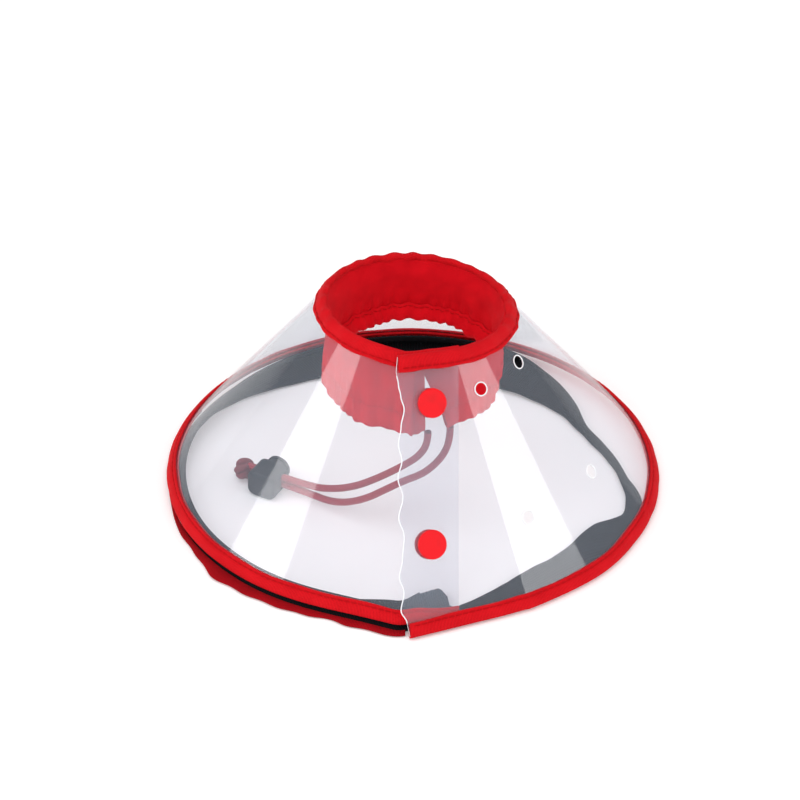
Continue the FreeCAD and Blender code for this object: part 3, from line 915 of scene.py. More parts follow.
RED_TAPE = Webbing("red_webbing", (0.82, 0.009, 0.016), (0.46, 0.002, 0.006))
# A darker copy of the red tape: painted shade for the skirt's red edge, which lies in shade under
# the rim.
RED_SHADED = Webbing("red_skirt_edge_painted_shade", (0.46, 0.004, 0.010), (0.20, 0.001, 0.004))
RED_THREAD = Webbing("red_thread", (0.62, 0.008, 0.013), (0.34, 0.001, 0.003), 0.3, 0.00004)
RED_LINING = PlainWeave("red_lining", (0.84, 0.006, 0.015), (0.46, 0.001, 0.006), 0.42,
                        sheen=0.03)
DARK_SKIRT = PlainWeave("dark_skirt", (0.012, 0.013, 0.016), (0.003, 0.003, 0.004), 1.1, 0.45,
                        0.0002, 0.02)
CLEAR = ClearSheet("clear_sheet", (0.975, 0.975, 0.984), (0.68, 0.80, 1.0), 0.042)
# Whitish plastic on the sheet's cut edges and hole rims: a painted highlight for the light that
# the clear sheet's edges catch.
PAINTED_EDGE_HIGHLIGHT = Moulded("sheet_edge_painted_highlight", (0.92, 0.93, 0.95), (0.84, 0.86, 0.90), 0.3, 0.00002)
RED_PLASTIC = Moulded("red_stud_plastic", (0.80, 0.007, 0.013), (0.68, 0.010, 0.014), 0.42,
                      0.000015, 0.08, 0.15)
BLACK_PLASTIC = Moulded("black_lock_plastic", (0.012, 0.013, 0.016), (0.030, 0.031, 0.036),
                        0.42, 0.00003)
STEEL = Wire("spring_wire")
RED_CORD = Braid("red_drawstring", (0.50, 0.020, 0.045), (0.28, 0.006, 0.016))


# ------------------------------------------------------------------ the bend of the outer lap


@dataclass(frozen=True)
class BendLine:
    """The line where the outer lap peels away from the rolled wall.

    Args:
        half_width: How far each side of the line the sheet would curve, in millimetres; not used.
    """

    half_width: float = 7.0

    def fold(self, piece: bpy.types.Object) -> None:
        """Bakes a piece's placement into its mesh.

        Args:
            piece: The piece.
        """
        here = RUN.at(RUN.hinge)
        middle = here.point(here.length / 2, 0)
        up = (here.neck - here.rim).normalized()
        across = here.out.cross(up).normalized() * self.half_width
        if across.x > 0:
            across.negate()
        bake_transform(piece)


BEND = BendLine()


class Side(Enum):
    """The two parts that the sheet and its tapes are built in."""

    ROLL = "roll"
    LAP = "lap"

    @property
    def limits(self) -> tuple[float, float]:
        """The first and last parameter of the part."""
        return (0.0, RUN.seam) if self is Side.ROLL else (RUN.seam, RUN.last)

    def hold(self, piece: bpy.types.Object) -> None:
        """Lets a piece ride on the collar, or bakes a lap piece's placement into its mesh.

        Args:
            piece: The piece.
        """
        if self is Side.ROLL:
            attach(piece, Body.COLLAR.value)
        else:
            BEND.fold(piece)


# ------------------------------------------------------------------ clear sheet


SEAM_SLOT = 2


@dataclass
class ClearCone:
    """The rolled clear sheet, with its punched holes and its wavy cut edge.

    Args:
        half_thick: Half the sheet's thickness.
        pitch: The mesh's spacing round the rim.
        rows: How many rows the mesh has up the slope.
        hole_radius: The punched holes' radius.
        bead: The radius of the raised edge that cutting leaves, which is coloured whitish as a
            painted highlight.
        edge_steps: How many steps the free edge's bead has.
        bound_foot: How many of them the rim's tape hides.
        bound_top: How many of them the neck's tape hides.
        pull_reach: How far in from the free edge its waves are felt.
        wave: The free edge's waves: shares of the way up, and shifts to the right.
        hole_heights: The heights of the two rows of spare holes.
        hole_angles: Their angles from the front, in degrees.
    """

    half_thick: float = 0.3
    pitch: float = 2.4
    rows: int = 56
    hole_radius: float = 2.7
    bead: float = 0.24
    edge_steps: int = 120
    bound_foot: int = 6
    bound_top: int = 8
    pull_reach: float = 16.0
    wave: tuple = ((0.0, -1.0), (0.05, -2.2), (0.10, -4.9), (0.16, -3.5), (0.22, -5.5),
                   (0.28, -4.1), (0.36, -3.3), (0.43, -5.7), (0.50, -3.8), (0.57, -6.0),
                   (0.63, -4.2), (0.69, -5.7), (0.75, -4.5), (0.81, -3.1), (0.86, -4.6),
                   (0.90, -5.6), (0.95, -6.6), (1.0, -6.0))
    hole_heights: tuple = (77.7, 30.5)
    hole_angles: tuple = (36.5, 66.0)

    def edge_shift(self, share: float) -> float:
        """How far to the right of the straight line the free edge lies.

        Args:
            share: The share of the way up the edge.

        Returns:
            The distance.
        """
        heights = [h for h, _ in self.wave]
        i = max(1, next((k for k, h in enumerate(heights) if h >= share), len(heights) - 1))
        low, high = self.wave[i - 1], self.wave[i]
        blend = smooth((share - low[0]) / (high[0] - low[0]))
        foot, top = Run.FREE_EDGE
        return low[1] + (high[1] - low[1]) * blend - foot + (foot - top) * share

    def column(self, where: float, side: Side) -> list[Vector]:
        """One closed cross-section, up the outer face and down the inner one.

        Args:
            where: The place along the sheet.
            side: The part that it belongs to.

        Returns:
            The section's points.
        """
        here = RUN.at(where)
        top = here.length + here.neck_rise
        left = (RUN.at(RUN.last).rim - here.rim).length
        pull = smooth(1 - left / self.pull_reach) if side is Side.LAP else 0.0
        points = []
        for out, order in ((self.half_thick, range(self.rows + 1)),
                           (-self.half_thick, range(self.rows, -1, -1))):
            for row in order:
                share = row / self.rows
                spot = here.point(here.rim_rise + (top - here.rim_rise) * share, out)
                points.append(spot + ALONG_FRONT * (pull * self.edge_shift(share)))
        return points

    def part(self, side: Side, node: str) -> None:
        """Builds the roll or the lap.

        Args:
            side: Which of them.
            node: The node it stands for.
        """
        loft = Loft(f"clear_sheet_{side.value}")
        first, last = side.limits
        columns = [self.column(w, side) for w in RUN.steps(first, last, self.pitch)]
        # Slot 1, the sheet's thin edge faces, takes the whitish painted highlight.
        slots = [0] * self.rows + [1] + [0] * self.rows + [1]
        loft.grid(columns, slots=slots)
        loft.strip_cap(columns, 0, 0 if side is Side.ROLL else SEAM_SLOT)
        if side is Side.LAP:
            loft.strip_cap(columns, -1, 1)
        piece = loft.build((CLEAR, PAINTED_EDGE_HIGHLIGHT, PAINTED_EDGE_HIGHLIGHT))
        if side is Side.LAP:
            self.punch(piece)
        side.hold(piece)
        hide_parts(node)

    def hole_spots(self) -> list[tuple[Vector, Vector]]:
        """The centres and normals of the spare holes.

        Returns:
            A centre and a normal for each hole.
        """
        found = []
        for height in self.hole_heights:
            for angle in self.hole_angles:
                rim, neck = RIM.at_angle(angle) + RIM_Z, NECK.at_angle(angle) + NECK_Z
                share = (height - RIM_HEIGHT) / SHEET_HEIGHT
                one = RIM.at_angle(angle + 1) - RIM.at_angle(angle - 1)
                two = NECK.at_angle(angle + 1) - NECK.at_angle(angle - 1)
                along = one.lerp(two, share)
                found.append((rim.lerp(neck, share), along.cross(neck - rim).normalized()))
        return found

    def punch(self, piece: bpy.types.Object) -> None:
        """Cuts the spare holes through the lap.

        Args:
            piece: The lap's sheet.
        """
        cutter = Loft("punch")
        for spot, out in self.hole_spots():
            cutter.tube([spot - out * 3, spot + out * 3], self.hole_radius, sides=36)
        tool = cutter.build((PAINTED_EDGE_HIGHLIGHT,))
        cut = piece.modifiers.new("holes", "BOOLEAN")
        cut.operation, cut.solver, cut.object = "DIFFERENCE", "EXACT", tool
        graph = bpy.context.evaluated_depsgraph_get()
        mesh = bpy.data.meshes.new_from_object(piece.evaluated_get(graph))
        piece.modifiers.clear()
        form = bmesh.new()
        form.from_mesh(mesh)
        seam = [face for face in form.faces if face.material_index == SEAM_SLOT]
        bmesh.ops.delete(form, geom=seam, context="FACES_ONLY")
        form.to_mesh(mesh)
        form.free()
        piece.data = mesh
        bpy.data.objects.remove(tool)

    def beads(self) -> None:
        """The slightly raised edges that cutting and punching leave, coloured whitish as a painted
        highlight.
        """
        edge = Loft("sheet_free_edge_highlight")
        path = []
        here = RUN.at(RUN.last)
        top = here.length + here.neck_rise
        for row in range(self.edge_steps + 1):
            share = row / self.edge_steps
            spot = here.point(here.rim_rise + (top - here.rim_rise) * share, 0.05)
            path.append(spot + ALONG_FRONT * self.edge_shift(share))
        edge.tube(path[self.bound_foot:-self.bound_top], self.bead, sides=8)
        rings = Loft("spare_hole_edge_highlights")
        for spot, out in self.hole_spots():
            side = out.orthogonal().normalized()
            other = out.cross(side)
            ring = [spot + out * 0.25 + (side * math.cos(t) + other * math.sin(t))
                    * (self.hole_radius + self.bead / 2)
                    for t in (2 * math.pi * k / 40 for k in range(40))]
            rings.tube(ring, 0.26, sides=8, closed=True)
        for loft in (edge, rings):
            piece = loft.build((PAINTED_EDGE_HIGHLIGHT,))
            Side.LAP.hold(piece)

    def build(self) -> None:
        """Builds both parts and their edges."""
        self.part(Side.ROLL, "clear_sheet_wall")
        self.part(Side.LAP, "clear_sheet_flap")
        self.beads()


# ------------------------------------------------------------------ woven tapes


LEG = 7.0
STITCH_ARCH = ((0, 0.95), (0.2, 1.2), (0.5, 1.27), (0.8, 1.2), (1.0, 0.95))
INNER_FACE = 2.2


class Edge(Enum):
    """The sheet's two bound edges."""

    RIM = "rim"
    NECK = "neck"


@dataclass
class TapeBinding:
    """A woven tape folded over one edge of the sheet and sewn through both legs.

    Args:
        edge: Which edge it binds.
        pucker: How far the sewing draws its face in and out.
        waves: The puckers' length along the edge.
        width: The width of each leg.
        stitch: How far in from the fold the stitches lie, on a leg 7 mm wide.
        stitch_pitch: The stitches' spacing.
        legs: The folded section's outer points: in from the edge, and out from the sheet.
        pitch: The mesh's spacing along the edge.
        thread: The thread's radius.
        sewn: The length of edge that is bound so far.
    """

    edge: Edge
    pucker: float
    waves: float
    width: float = 7.0
    stitch: float = 5.3
    stitch_pitch: float = 3.1
    legs: tuple = ((LEG, 0.36), (7.08, 0.8), (6.75, 1.16), (6.1, 1.26), (5.6, 1.05), (5.0, 1.05),
                   (4.5, 1.3), (3.2, 1.5), (1.8, 1.42), (0.6, 1.25), (-0.25, 0.95),
                   (-0.68, 0.5))
    pitch: float = 1.1
    thread: float = 0.24
    sewn: float = 0.0

    def spot(self, here: Station, along: float, out: float) -> Vector:
        """A point measured in from this edge.

        Args:
            here: The station it is at.
            along: How far in from the edge it is, on a leg 7 mm wide.
            out: How far out from the sheet it is.

        Returns:
            The point.
        """
        along *= self.width / LEG if along > 0 else 1.0
        if self.edge is Edge.RIM:
            return here.from_rim(along, out)
        return here.from_neck(-along, out)

    def ripple(self, reach: float, face: float) -> float:
        """How far out the tape's face puckers at a distance along the edge.

        Args:
            reach: The distance along the edge.
            face: The face's own shift of the pattern.

        Returns:
            The distance.
        """
        turn = 2 * math.pi * reach / self.waves
        uneven = 0.65 + 0.35 * math.sin(turn * 0.13 + 1.7)
        wave = math.sin(turn + 0.8 * math.sin(turn * 0.37) + face)
        return self.pucker * uneven * (0.5 + 0.5 * wave)

    @staticmethod
    def shift(along: float, sway: float, crest: float) -> float:
        """How far the tape's sway and its puckered fold move a point."""
        return sway * smooth(along / LEG) + crest * (1 - smooth((along + 0.7) / (LEG / 2)))

    def section(self, here: Station, reach: float) -> list[Vector]:
        """One closed cross-section of the folded tape.

        Args:
            here: The station it is at.
            reach: The distance along the edge.

        Returns:
            The section's points.
        """
        outer, inner = self.ripple(reach, 0.0), self.ripple(reach, INNER_FACE)
        sway = 0.22 * math.sin(2 * math.pi * reach / (self.waves * 1.7))
        behind = smooth((abs(angle_of(here.rim)) - 45) / 45)
        turn = 2 * math.pi * reach / self.waves
        crest = -0.85 * self.pucker * behind * math.sin(turn + 0.9 * math.sin(0.31 * reach))
        points = []
        for along, out in self.legs:
            lift = outer * smooth(out - 0.3) * smooth(along + 0.8)
            points.append(self.spot(here, along + self.shift(along, sway, crest), out + lift))
        points.append(self.spot(here, -0.8 + crest, 0.0))
        for along, out in reversed(self.legs):
            lift = inner * smooth(out - 0.3) * smooth(along + 0.8)
            points.append(self.spot(here, along + self.shift(along, sway, crest), -out - lift))
        for along, out in ((LEG, -0.33), (0.1, -0.33), (0.0, 0.0), (0.1, 0.33)):
            points.append(self.spot(here, along, out))
        return points

    def reaches(self, steps: Sequence[float]) -> list[float]:
        """The distance along the edge at each step.

        Args:
            steps: The places along the sheet.

        Returns:
            The distances, carried on from one part to the next.
        """
        spots = [self.spot(RUN.at(w), 0, 0) for w in steps]
        total = [self.sewn]
        for a, b in zip(spots, spots[1:]):
            total.append(total[-1] + (b - a).length)
        self.sewn = total[-1]
        return total

    def part(self, side: Side, node: str) -> None:
        """Builds the tape along the roll or the lap, with its stitches.

        Args:
            side: Which of them.
            node: The node it stands for.
        """
        first, last = side.limits
        steps = RUN.steps(first, last, self.pitch, self.edge is Edge.NECK)
        reach = self.reaches(steps)
        loft = Loft(f"{self.edge.value}_binding_{side.value}")
        loft.grid([self.section(RUN.at(w), r) for w, r in zip(steps, reach)], caps=0)
        piece = loft.build((RED_TAPE,), 60)
        side.hold(piece)
        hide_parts(node)
        self.stitches(side, steps, reach)

    def stitches(self, side: Side, steps: Sequence[float], reach: Sequence[float]) -> None:
        """Sews a row of stitches through both legs of the tape.

        Args:
            side: The part it is in.
            steps: The places along the sheet.
            reach: The distance along the edge at each of them.
        """
        loft = Loft(f"{self.edge.value}_stitching_{side.value}")
        count = int((reach[-1] - reach[0] - 2) / self.stitch_pitch)
        for i in range(count):
            start = reach[0] + 1.2 + i * self.stitch_pitch
            for face in (1, -1):
                path = []
                for share, out in STITCH_ARCH:
                    along = start + share * self.stitch_pitch * 0.8
                    here = RUN.at(float(np.interp(along, reach, steps)))
                    lift = self.ripple(along, 0.0 if face > 0 else INNER_FACE)
                    lift *= smooth(out - 0.3)
                    path.append(self.spot(here, self.stitch, face * (out + lift)))
                loft.tube(path, self.thread, sides=6)
        piece = loft.build((RED_THREAD,))
        side.hold(piece)

    def build(self) -> None:
        """Builds the tape along both parts of the edge."""
        name = f"{self.edge.value}_binding"
        self.part(Side.ROLL, name)
        self.part(Side.LAP, name + "_flap")


# ------------------------------------------------------------------ neck lining


@dataclass
class NeckLining:
    """The gathered lining: sewn into the neck tape, with the drawstring in its hem.

    Args:
        hem: The height of its lower edge.
        thick: The cloth's thickness.
        columns: How many columns the mesh has.
        fold_depth: How deep its hanging folds are.
        gather_depth: How deep the gathers round the drawstring are.
        back_lift: How much higher the hem hangs at the back than at the front.
        top_plan: The outline of its top.
        hem_plan: The outline of its hem.
        top_ends: The angles of its two ends at the top.
        hem_ends: The angles of its two ends at the hem.
        tuck: How far below the neck's edge its top lies.
        cord: The radius of the drawstring inside the hem.
        stitch_count: How many stitches close the casing.
        casing: The hem's turned-in section: heights above the hem, and insets.
        flat: The size that it is cut to, in metres; not used.
    """

    hem: float = 56.0
    thick: float = 0.8
    columns: int = 420
    fold_depth: float = 1.5
    gather_depth: float = 0.5
    back_lift: float = 8.0
    top_plan: Outline = Outline(36.2, 32.1, 1.2, 8.9)
    hem_plan: Outline = Outline(38.0, 36.0, 0.0, 2.1)
    top_ends: tuple = (6.0, -355.6)
    hem_ends: tuple = (9.4, -336.7)
    tuck: float = 1.5
    cord: float = 1.45
    stitch_count: int = 96
    casing: tuple = ((1.3, 0.25), (0.25, 1.1), (-0.05, 2.7), (0.3, 4.4), (1.5, 5.3), (3.0, 5.5),
                     (4.7, 5.1), (6.4, 3.7), (7.9, 2.4), (9.2, 1.75), (9.1, 1.0), (7.7, 1.5),
                     (6.1, 2.8), (4.5, 4.2), (3.0, 4.6), (1.8, 4.4), (1.1, 3.9), (0.75, 2.7),
                     (1.0, 1.6), (1.8, 1.0))
    flat: tuple = (0.052, 0.245)

    def ends(self, share: float) -> tuple[float, float]:
        """The angles of the left and right ends.

        Args:
            share: The share of the way up.

        Returns:
            The two angles, in degrees.
        """
        (left, right), (low_left, low_right) = self.top_ends, self.hem_ends
        return (low_left + (left - low_left) * share,
                low_right + (right - low_right) * smooth(share) ** 0.8)

    def spot(self, across: float, height: float, inset: float) -> Vector:
        """A point on the lining.

        Args:
            across: The share of the way from its left end to its right end.
            height: How far above the hem it is.
            inset: How far inside the outer face it is.

        Returns:
            The point.
        """
        middle = self.top_plan.at_angle(-180)
        tall = NECK_HEIGHT + neck_tilt(middle) - self.tuck - self.hem
        share = min(1.0, height / tall)
        left, right = self.ends(share)
        angle = left + (right - left) * across
        top, low = self.top_plan.at_angle(angle), self.hem_plan.at_angle(angle)
        here_tall = NECK_HEIGHT + neck_tilt(top) - self.tuck - self.hem
        plan = low.lerp(top, share)
        ahead = (self.hem_plan.at_angle(angle - 2) - self.hem_plan.at_angle(angle + 2))
        inward = Vector((ahead.y, -ahead.x, 0)).normalized()
        turn = math.radians(angle)
        loose = (1 - share) ** 0.7 * smooth((1.0 - share) / 0.25)
        fold = (math.sin(11 * turn + 1.3 * math.sin(3 * turn)) * 0.5
                + math.sin(5 * turn + 0.7) * 0.5)
        tight = math.exp(-((height - 9.0) / 5.0) ** 2) + math.exp(-((height - 1.0) / 3.0) ** 2)
        gather = math.sin(41 * turn + 2.0 * math.sin(7 * turn)) * tight
        cross = 1.9 * smooth((across - 0.94) / 0.05) * smooth((share - 0.25) / 0.4)
        depth = (inset - 1.5 * smooth((share - 0.8) / 0.17)
                 + self.fold_depth * loose * (0.55 + 0.6 * fold) + self.gather_depth * gather)
        behind = smooth((abs((angle + 180) % 360 - 180) - 60) / 90)
        sag = (1 - share) ** 2 * (self.back_lift * behind - 0.28 * math.sin(27 * turn + 1.0)
                                  - 0.4 * math.sin(6 * turn))
        rise = Vector((plan.x, plan.y, self.hem + here_tall * share + sag))
        return rise + inward * (depth + cross)

    def profile(self) -> list[tuple[float, float]]:
        """The J-folded section: height above the hem, and inset.

        Returns:
            The section's points.
        """
        tall = NECK_HEIGHT - self.hem + 1.6
        outer = [(tall * (1 - k / 16) + 3.2 * k / 16, 0.0) for k in range(17)]
        inner = [(3.4 + (tall - 3.4) * k / 14, self.thick) for k in range(15)]
        return outer + list(self.casing) + inner

    def build(self) -> None:
        """Builds the cloth."""
        loft = Loft("neck_lining_cloth")
        profile = self.profile()
        loft.grid([[self.spot(k / self.columns, height, inset) for height, inset in profile]
                   for k in range(self.columns + 1)], caps=0)
        piece = loft.build((RED_LINING,), 70)
        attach(piece, Body.COLLAR.value)
        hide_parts("neck_lining")
        self.hem_stitches()
        self.hidden_cord()

    def hidden_cord(self) -> None:
        """The part of the drawstring that runs inside the hem."""
        loft = Loft("drawstring_inside_hem")
        loft.tube([self.spot(k / 240, 3.0, 2.75) for k in range(2, 238)], self.cord, sides=12)
        piece = loft.build((RED_CORD,))
        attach(piece, Body.COLLAR.value)
        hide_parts("drawstring_in_hem")

    def hem_stitches(self) -> None:
        """The row of stitches that closes the drawstring's casing."""
        loft = Loft("lining_hem_stitching")
        count = self.stitch_count
        for i in range(2, count - 1):
            for height, inset in ((8.4, 2.35), (8.4, -0.05)):
                path = []
                for share, rise in ((0, -0.15), (0.3, 0.12), (0.7, 0.12), (1.0, -0.15)):
                    lift = rise if inset > 0 else -rise
                    path.append(self.spot((i + share * 0.72) / count, height, inset + lift))
                loft.tube(path, 0.2, sides=5)
        piece = loft.build((RED_THREAD,))
        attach(piece, Body.COLLAR.value)


# ------------------------------------------------------------------ rim skirt


@dataclass
class RimSkirt:
    """The dark ribbed skirt under the rim, turned in over the floor, with a red outer edge.

    Args:
        inset: How far inside the sheet's foot its outer face hangs.
        thick: Its cloth's thickness.
        rise: How far up the wall its leg covers the tape.
        rise_behind: The same, at the back.
        toothed: Where its toothed end begins.
        outer_edge: How far inside the foot its outer edge lies, by angle.
        inner_edge: How far inside the foot its inner edge lies, by angle.
        bulges: How far its red edge stands out, by angle.
        pitch: The mesh's spacing along the rim.
        tooth_pitch: The same, where its end is toothed.
        start: The place along the sheet where it starts.
        past_hinge: How far past the bend line it goes.
        red_from: The place along the sheet where the red edge starts.
        red_to: The place where it ends.
        cut_width: The width that its cloth is cut to, in metres; not used.
        cloth_share: How much of that width the wavy cloth fills; not used.
    """

    inset: float = 1.8
    thick: float = 1.1
    rise: float = 5.4
    rise_behind: float = 10.4
    toothed: float = 3.0
    outer_edge: tuple = ((-180.0, 0.0), (76.0, 0.0), (82.0, 3.4), (87.0, 7.0), (91.0, 10.2),
                         (100.0, 13.7), (108.0, 16.2), (117.0, 17.4), (127.0, 12.8),
                         (140.0, 6.4), (150.0, 2.4), (162.0, 0.0), (200.0, 0.0))
    inner_edge: tuple = ((-180.0, 22.0), (-165.0, 20.0), (-148.0, 16.2), (-136.0, 13.0),
                         (-126.0, 8.0), (-118.0, 4.6), (-101.0, 3.6), (-90.0, 3.0),
                         (-81.0, 3.2), (-70.0, 4.6), (-57.0, 5.8), (-41.0, 7.4), (-33.0, 8.8),
                         (-19.0, 11.6), (-10.0, 17.0), (-3.0, 20.0), (10.0, 20.4), (10.9, 9.6),
                         (13.0, 10.2), (22.0, 14.0), (30.0, 17.0), (44.0, 19.4), (60.0, 19.6),
                         (68.0, 18.0), (73.0, 12.0), (76.0, 9.2), (82.0, 9.8), (87.0, 11.8),
                         (91.0, 13.4), (100.0, 17.2), (108.0, 20.2), (117.0, 21.4),
                         (127.0, 21.2), (140.0, 23.4), (150.0, 24.4), (162.0, 24.0),
                         (180.0, 22.0), (200.0, 22.0))
    bulges: tuple = ((-84.0, 0.0), (-70.0, 0.4), (-60.0, 1.4), (-53.0, 4.4), (-46.0, 3.4),
                     (-36.0, 2.5), (-27.0, 1.8), (-21.0, 0.6), (-16.0, 1.8), (-7.0, 1.5),
                     (0.0, 1.2), (8.0, 0.8))
    pitch: float = 1.5
    tooth_pitch: float = 0.3
    start: float = 0.3
    past_hinge: float = 3.6
    red_from: float = 4.6
    red_to: float = 15.0
    cut_width: float = 0.030
    cloth_share: float = 0.72

    @staticmethod
    def read(table: Sequence[tuple[float, float]], angle: float) -> float:
        """The value at an angle, on a smooth curve through a table's points.

        Args:
            table: Angles and values, in order.
            angle: The angle to read at.

        Returns:
            The value there.
        """
        angle = min(max(angle, table[0][0]), table[-1][0])
        i = next(k for k in range(1, len(table)) if angle <= table[k][0])
        (a, low), (b, high) = table[i - 1], table[i]
        before, after = table[max(0, i - 2)], table[min(len(table) - 1, i + 1)]
        start = (high - before[1]) / (b - before[0]) * (b - a)
        end = (after[1] - low) / (after[0] - a) * (b - a)
        if abs(high - low) > 8 * (b - a):
            start = end = 0.0
        s = (angle - a) / (b - a)
        value = ((2 * s ** 3 - 3 * s * s + 1) * low + (s ** 3 - 2 * s * s + s) * start
                 + (3 * s * s - 2 * s ** 3) * high + (s ** 3 - s * s) * end)
        return max(0.0, value)

    @staticmethod
    def foot(here: Station) -> tuple[Vector, Vector]:
        """The point on the floor below the sheet's foot, and the way in from there.

        Args:
            here: The station it is at.

        Returns:
            The point, and the direction towards the middle.
        """
        foot = Vector((here.rim.x, here.rim.y, 0))
        return foot, (Vector((RIM.centre_x, RIM.centre_y, 0)) - foot).normalized()

    def column(self, where: float, under: bool) -> list[Vector]:
        """One closed cross-section of the skirt.

        Args:
            where: The place along the sheet.
            under: True under the lap's end, where the cloth's cut edge is toothed.

        Returns:
            The section's points.
        """
        here = RUN.at(where)
        foot, inward = self.foot(here)
        angle = angle_of(foot)
        drift = self.read(self.outer_edge, angle)
        far = self.inset + self.read(self.inner_edge, angle)
        turn = math.radians(angle)
        if under:
            far = self.inset + 20.0 + 0.5 * (where * 6.2 % 1.0 > 0.5)
            far -= 7.0 * (1 - smooth((where - 0.2) / 0.9)) ** 2
        far += 0.25 * math.sin(9 * turn + 1.0) + 0.12 * math.sin(37 * turn)
        near = self.inset + drift
        width = far - near
        stand = smooth(1 - drift / 5.0)
        low, floor = self.thick, 0.05
        curl = (0.4 + 0.8 * (0.5 + 0.5 * math.sin(13 * turn))) * smooth(width / 16)
        climb = self.rise + (self.rise_behind - self.rise) * smooth((abs(angle) - 95) / 35)
        top = here.from_rim(climb, -2.5 - low)
        rise = low + 0.5 + (top.z - low - 0.5) * stand
        reach = (Vector((top.x, top.y, 0)) - foot).dot(inward)
        lean = near + (abs(reach) - near) * stand
        section = [
            (lean, rise), (near + (lean - near) * 0.55, floor + rise * 0.5),
            (near + (lean - near) * 0.15, floor + rise * 0.14), (near + 0.5, floor),
            (near + width * 0.3, floor), (near + width * 0.6, floor + 0.1 * curl),
            (near + width * 0.85, floor + curl * 0.35), (far, floor + curl),
            (far + 0.15, floor + curl + low * 0.55), (far - 0.3, floor + curl + low),
            (near + width * 0.84, floor + curl * 0.35 + low),
            (near + width * 0.6, floor + 0.1 * curl + low), (near + width * 0.32, floor + low),
            (min(near + 1.7, near + width * 0.25), floor + low + 0.1),
            (near + (lean - near) * 0.15 + low * 0.9, floor + rise * 0.14 + low * 0.7),
            (near + (lean - near) * 0.55 + low * 0.9, floor + rise * 0.5 + low * 0.3),
            (lean + low * 0.8, rise - 0.1),
        ]
        return [foot + inward * inset + Vector((0, 0, height)) for inset, height in section]

    def part(self, side: Side, node: str, first: float, last: float) -> None:
        """Builds the skirt along the roll or the lap.

        Args:
            side: Which of them.
            node: The node it stands for.
            first: The place along the sheet where it starts.
            last: The place where it ends.
        """
        loft = Loft(f"rim_skirt_{side.value}")
        if side is Side.ROLL:
            steps = RUN.steps(first, self.toothed, self.tooth_pitch)[:-1]
            steps += RUN.steps(self.toothed, last, self.pitch)
        else:
            steps = RUN.steps(first, last, self.pitch)
        columns = [self.column(w, side is Side.ROLL and w < self.toothed) for w in steps]
        loft.grid(columns, caps=0)
        piece = loft.build((DARK_SKIRT,), 70)
        side.hold(piece)
        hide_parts(node)
        run = sum((b[0] - a[0]).length for a, b in zip(columns, columns[1:])) * MM

    def red_edge(self) -> None:
        """The skirt's red outer edge, which shows under the lifted left of the rim, darkened as
        painted shade.
        """
        loft = Loft("rim_skirt_red_edge")
        columns = []
        for where in RUN.steps(self.red_from, self.red_to, 1.2):
            here = RUN.at(where)
            foot, inward = self.foot(here)
            angle = angle_of(foot)
            swell = self.read(self.bulges, angle)
            turn = math.radians(angle)
            fade = smooth((84 + angle) / 14)
            swell += 0.35 * math.sin(40 * turn) * smooth(swell)
            top = max(1.2, (here.from_rim(-0.8, -0.6).z - 0.9) * (1 - 0.5 * fade))
            section = [(-1.9, top * 0.9), (-0.9 + swell * 0.35, top), (swell * 0.75, top * 0.86),
                       (swell, top * 0.55), (swell * 0.96, top * 0.25), (swell * 0.7, 0.08),
                       (swell * 0.2 - 1.0, 0.02), (-2.0, 0.3)]
            columns.append([foot - inward * (-1.7 + (reach + 1.7) * (0.25 + 0.75 * fade))
                            + Vector((0, 0, height)) for reach, height in section])
        loft.grid(columns, caps=0)
        piece = loft.build((RED_SHADED,), 70)
        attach(piece, Body.COLLAR.value)

    def build(self) -> None:
        """Builds both parts of the skirt and its red edge."""
        self.part(Side.ROLL, "rim_skirt", self.start, RUN.seam)
        self.part(Side.LAP, "rim_skirt_flap", RUN.seam, RUN.hinge + self.past_hinge)
        self.red_edge()


# ------------------------------------------------------------------ drawstring and its lock


@dataclass
class LockSpring:
    """The coil spring behind the lock's button, which shortens as the button goes in; it is built
    at one length only.

    Args:
        radius: The coil's radius.
        wire: The wire's radius.
        turns: How many turns it has.
        travel: How far the button goes in; not used.
        centre: The lock's centre.
        axis: The button's outward direction.
    """

    radius: float = 3.2
    wire: float = 0.25
    turns: float = 4.0
    travel: float = 2.5
    centre: tuple = (-58.8, 2.5, 6.0)
    axis: tuple = (0.5, 0.866025, 0.0)

    def build(self) -> bpy.types.Object:
        """Builds the coil between the ends that its node has.

        Returns:
            The coil, which rides on the lock.
        """
        axis, centre = Vector(self.axis), Vector(self.centre)
        side, up = Vector((0.866025, -0.5, 0)), Vector((0, 0, 1))
        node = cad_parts["cord_lock_spring"]
        reach = [(v.co / MM - centre).dot(axis) for v in node.data.vertices]
        low, high = min(reach) + self.wire, max(reach) - self.wire
        path = []
        for k in range(241):
            turn = 2 * math.pi * self.turns * k / 240
            path.append(centre + axis * (low + (high - low) * k / 240)
                        + (side * math.cos(turn) + up * math.sin(turn)) * self.radius)
        loft = Loft("cord_lock_coil")
        loft.tube(path, self.wire, sides=8)
        piece = loft.build((STEEL,))
        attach(piece, Body.LOCK.value)
        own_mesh(piece)
        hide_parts("cord_lock_spring")
        return piece


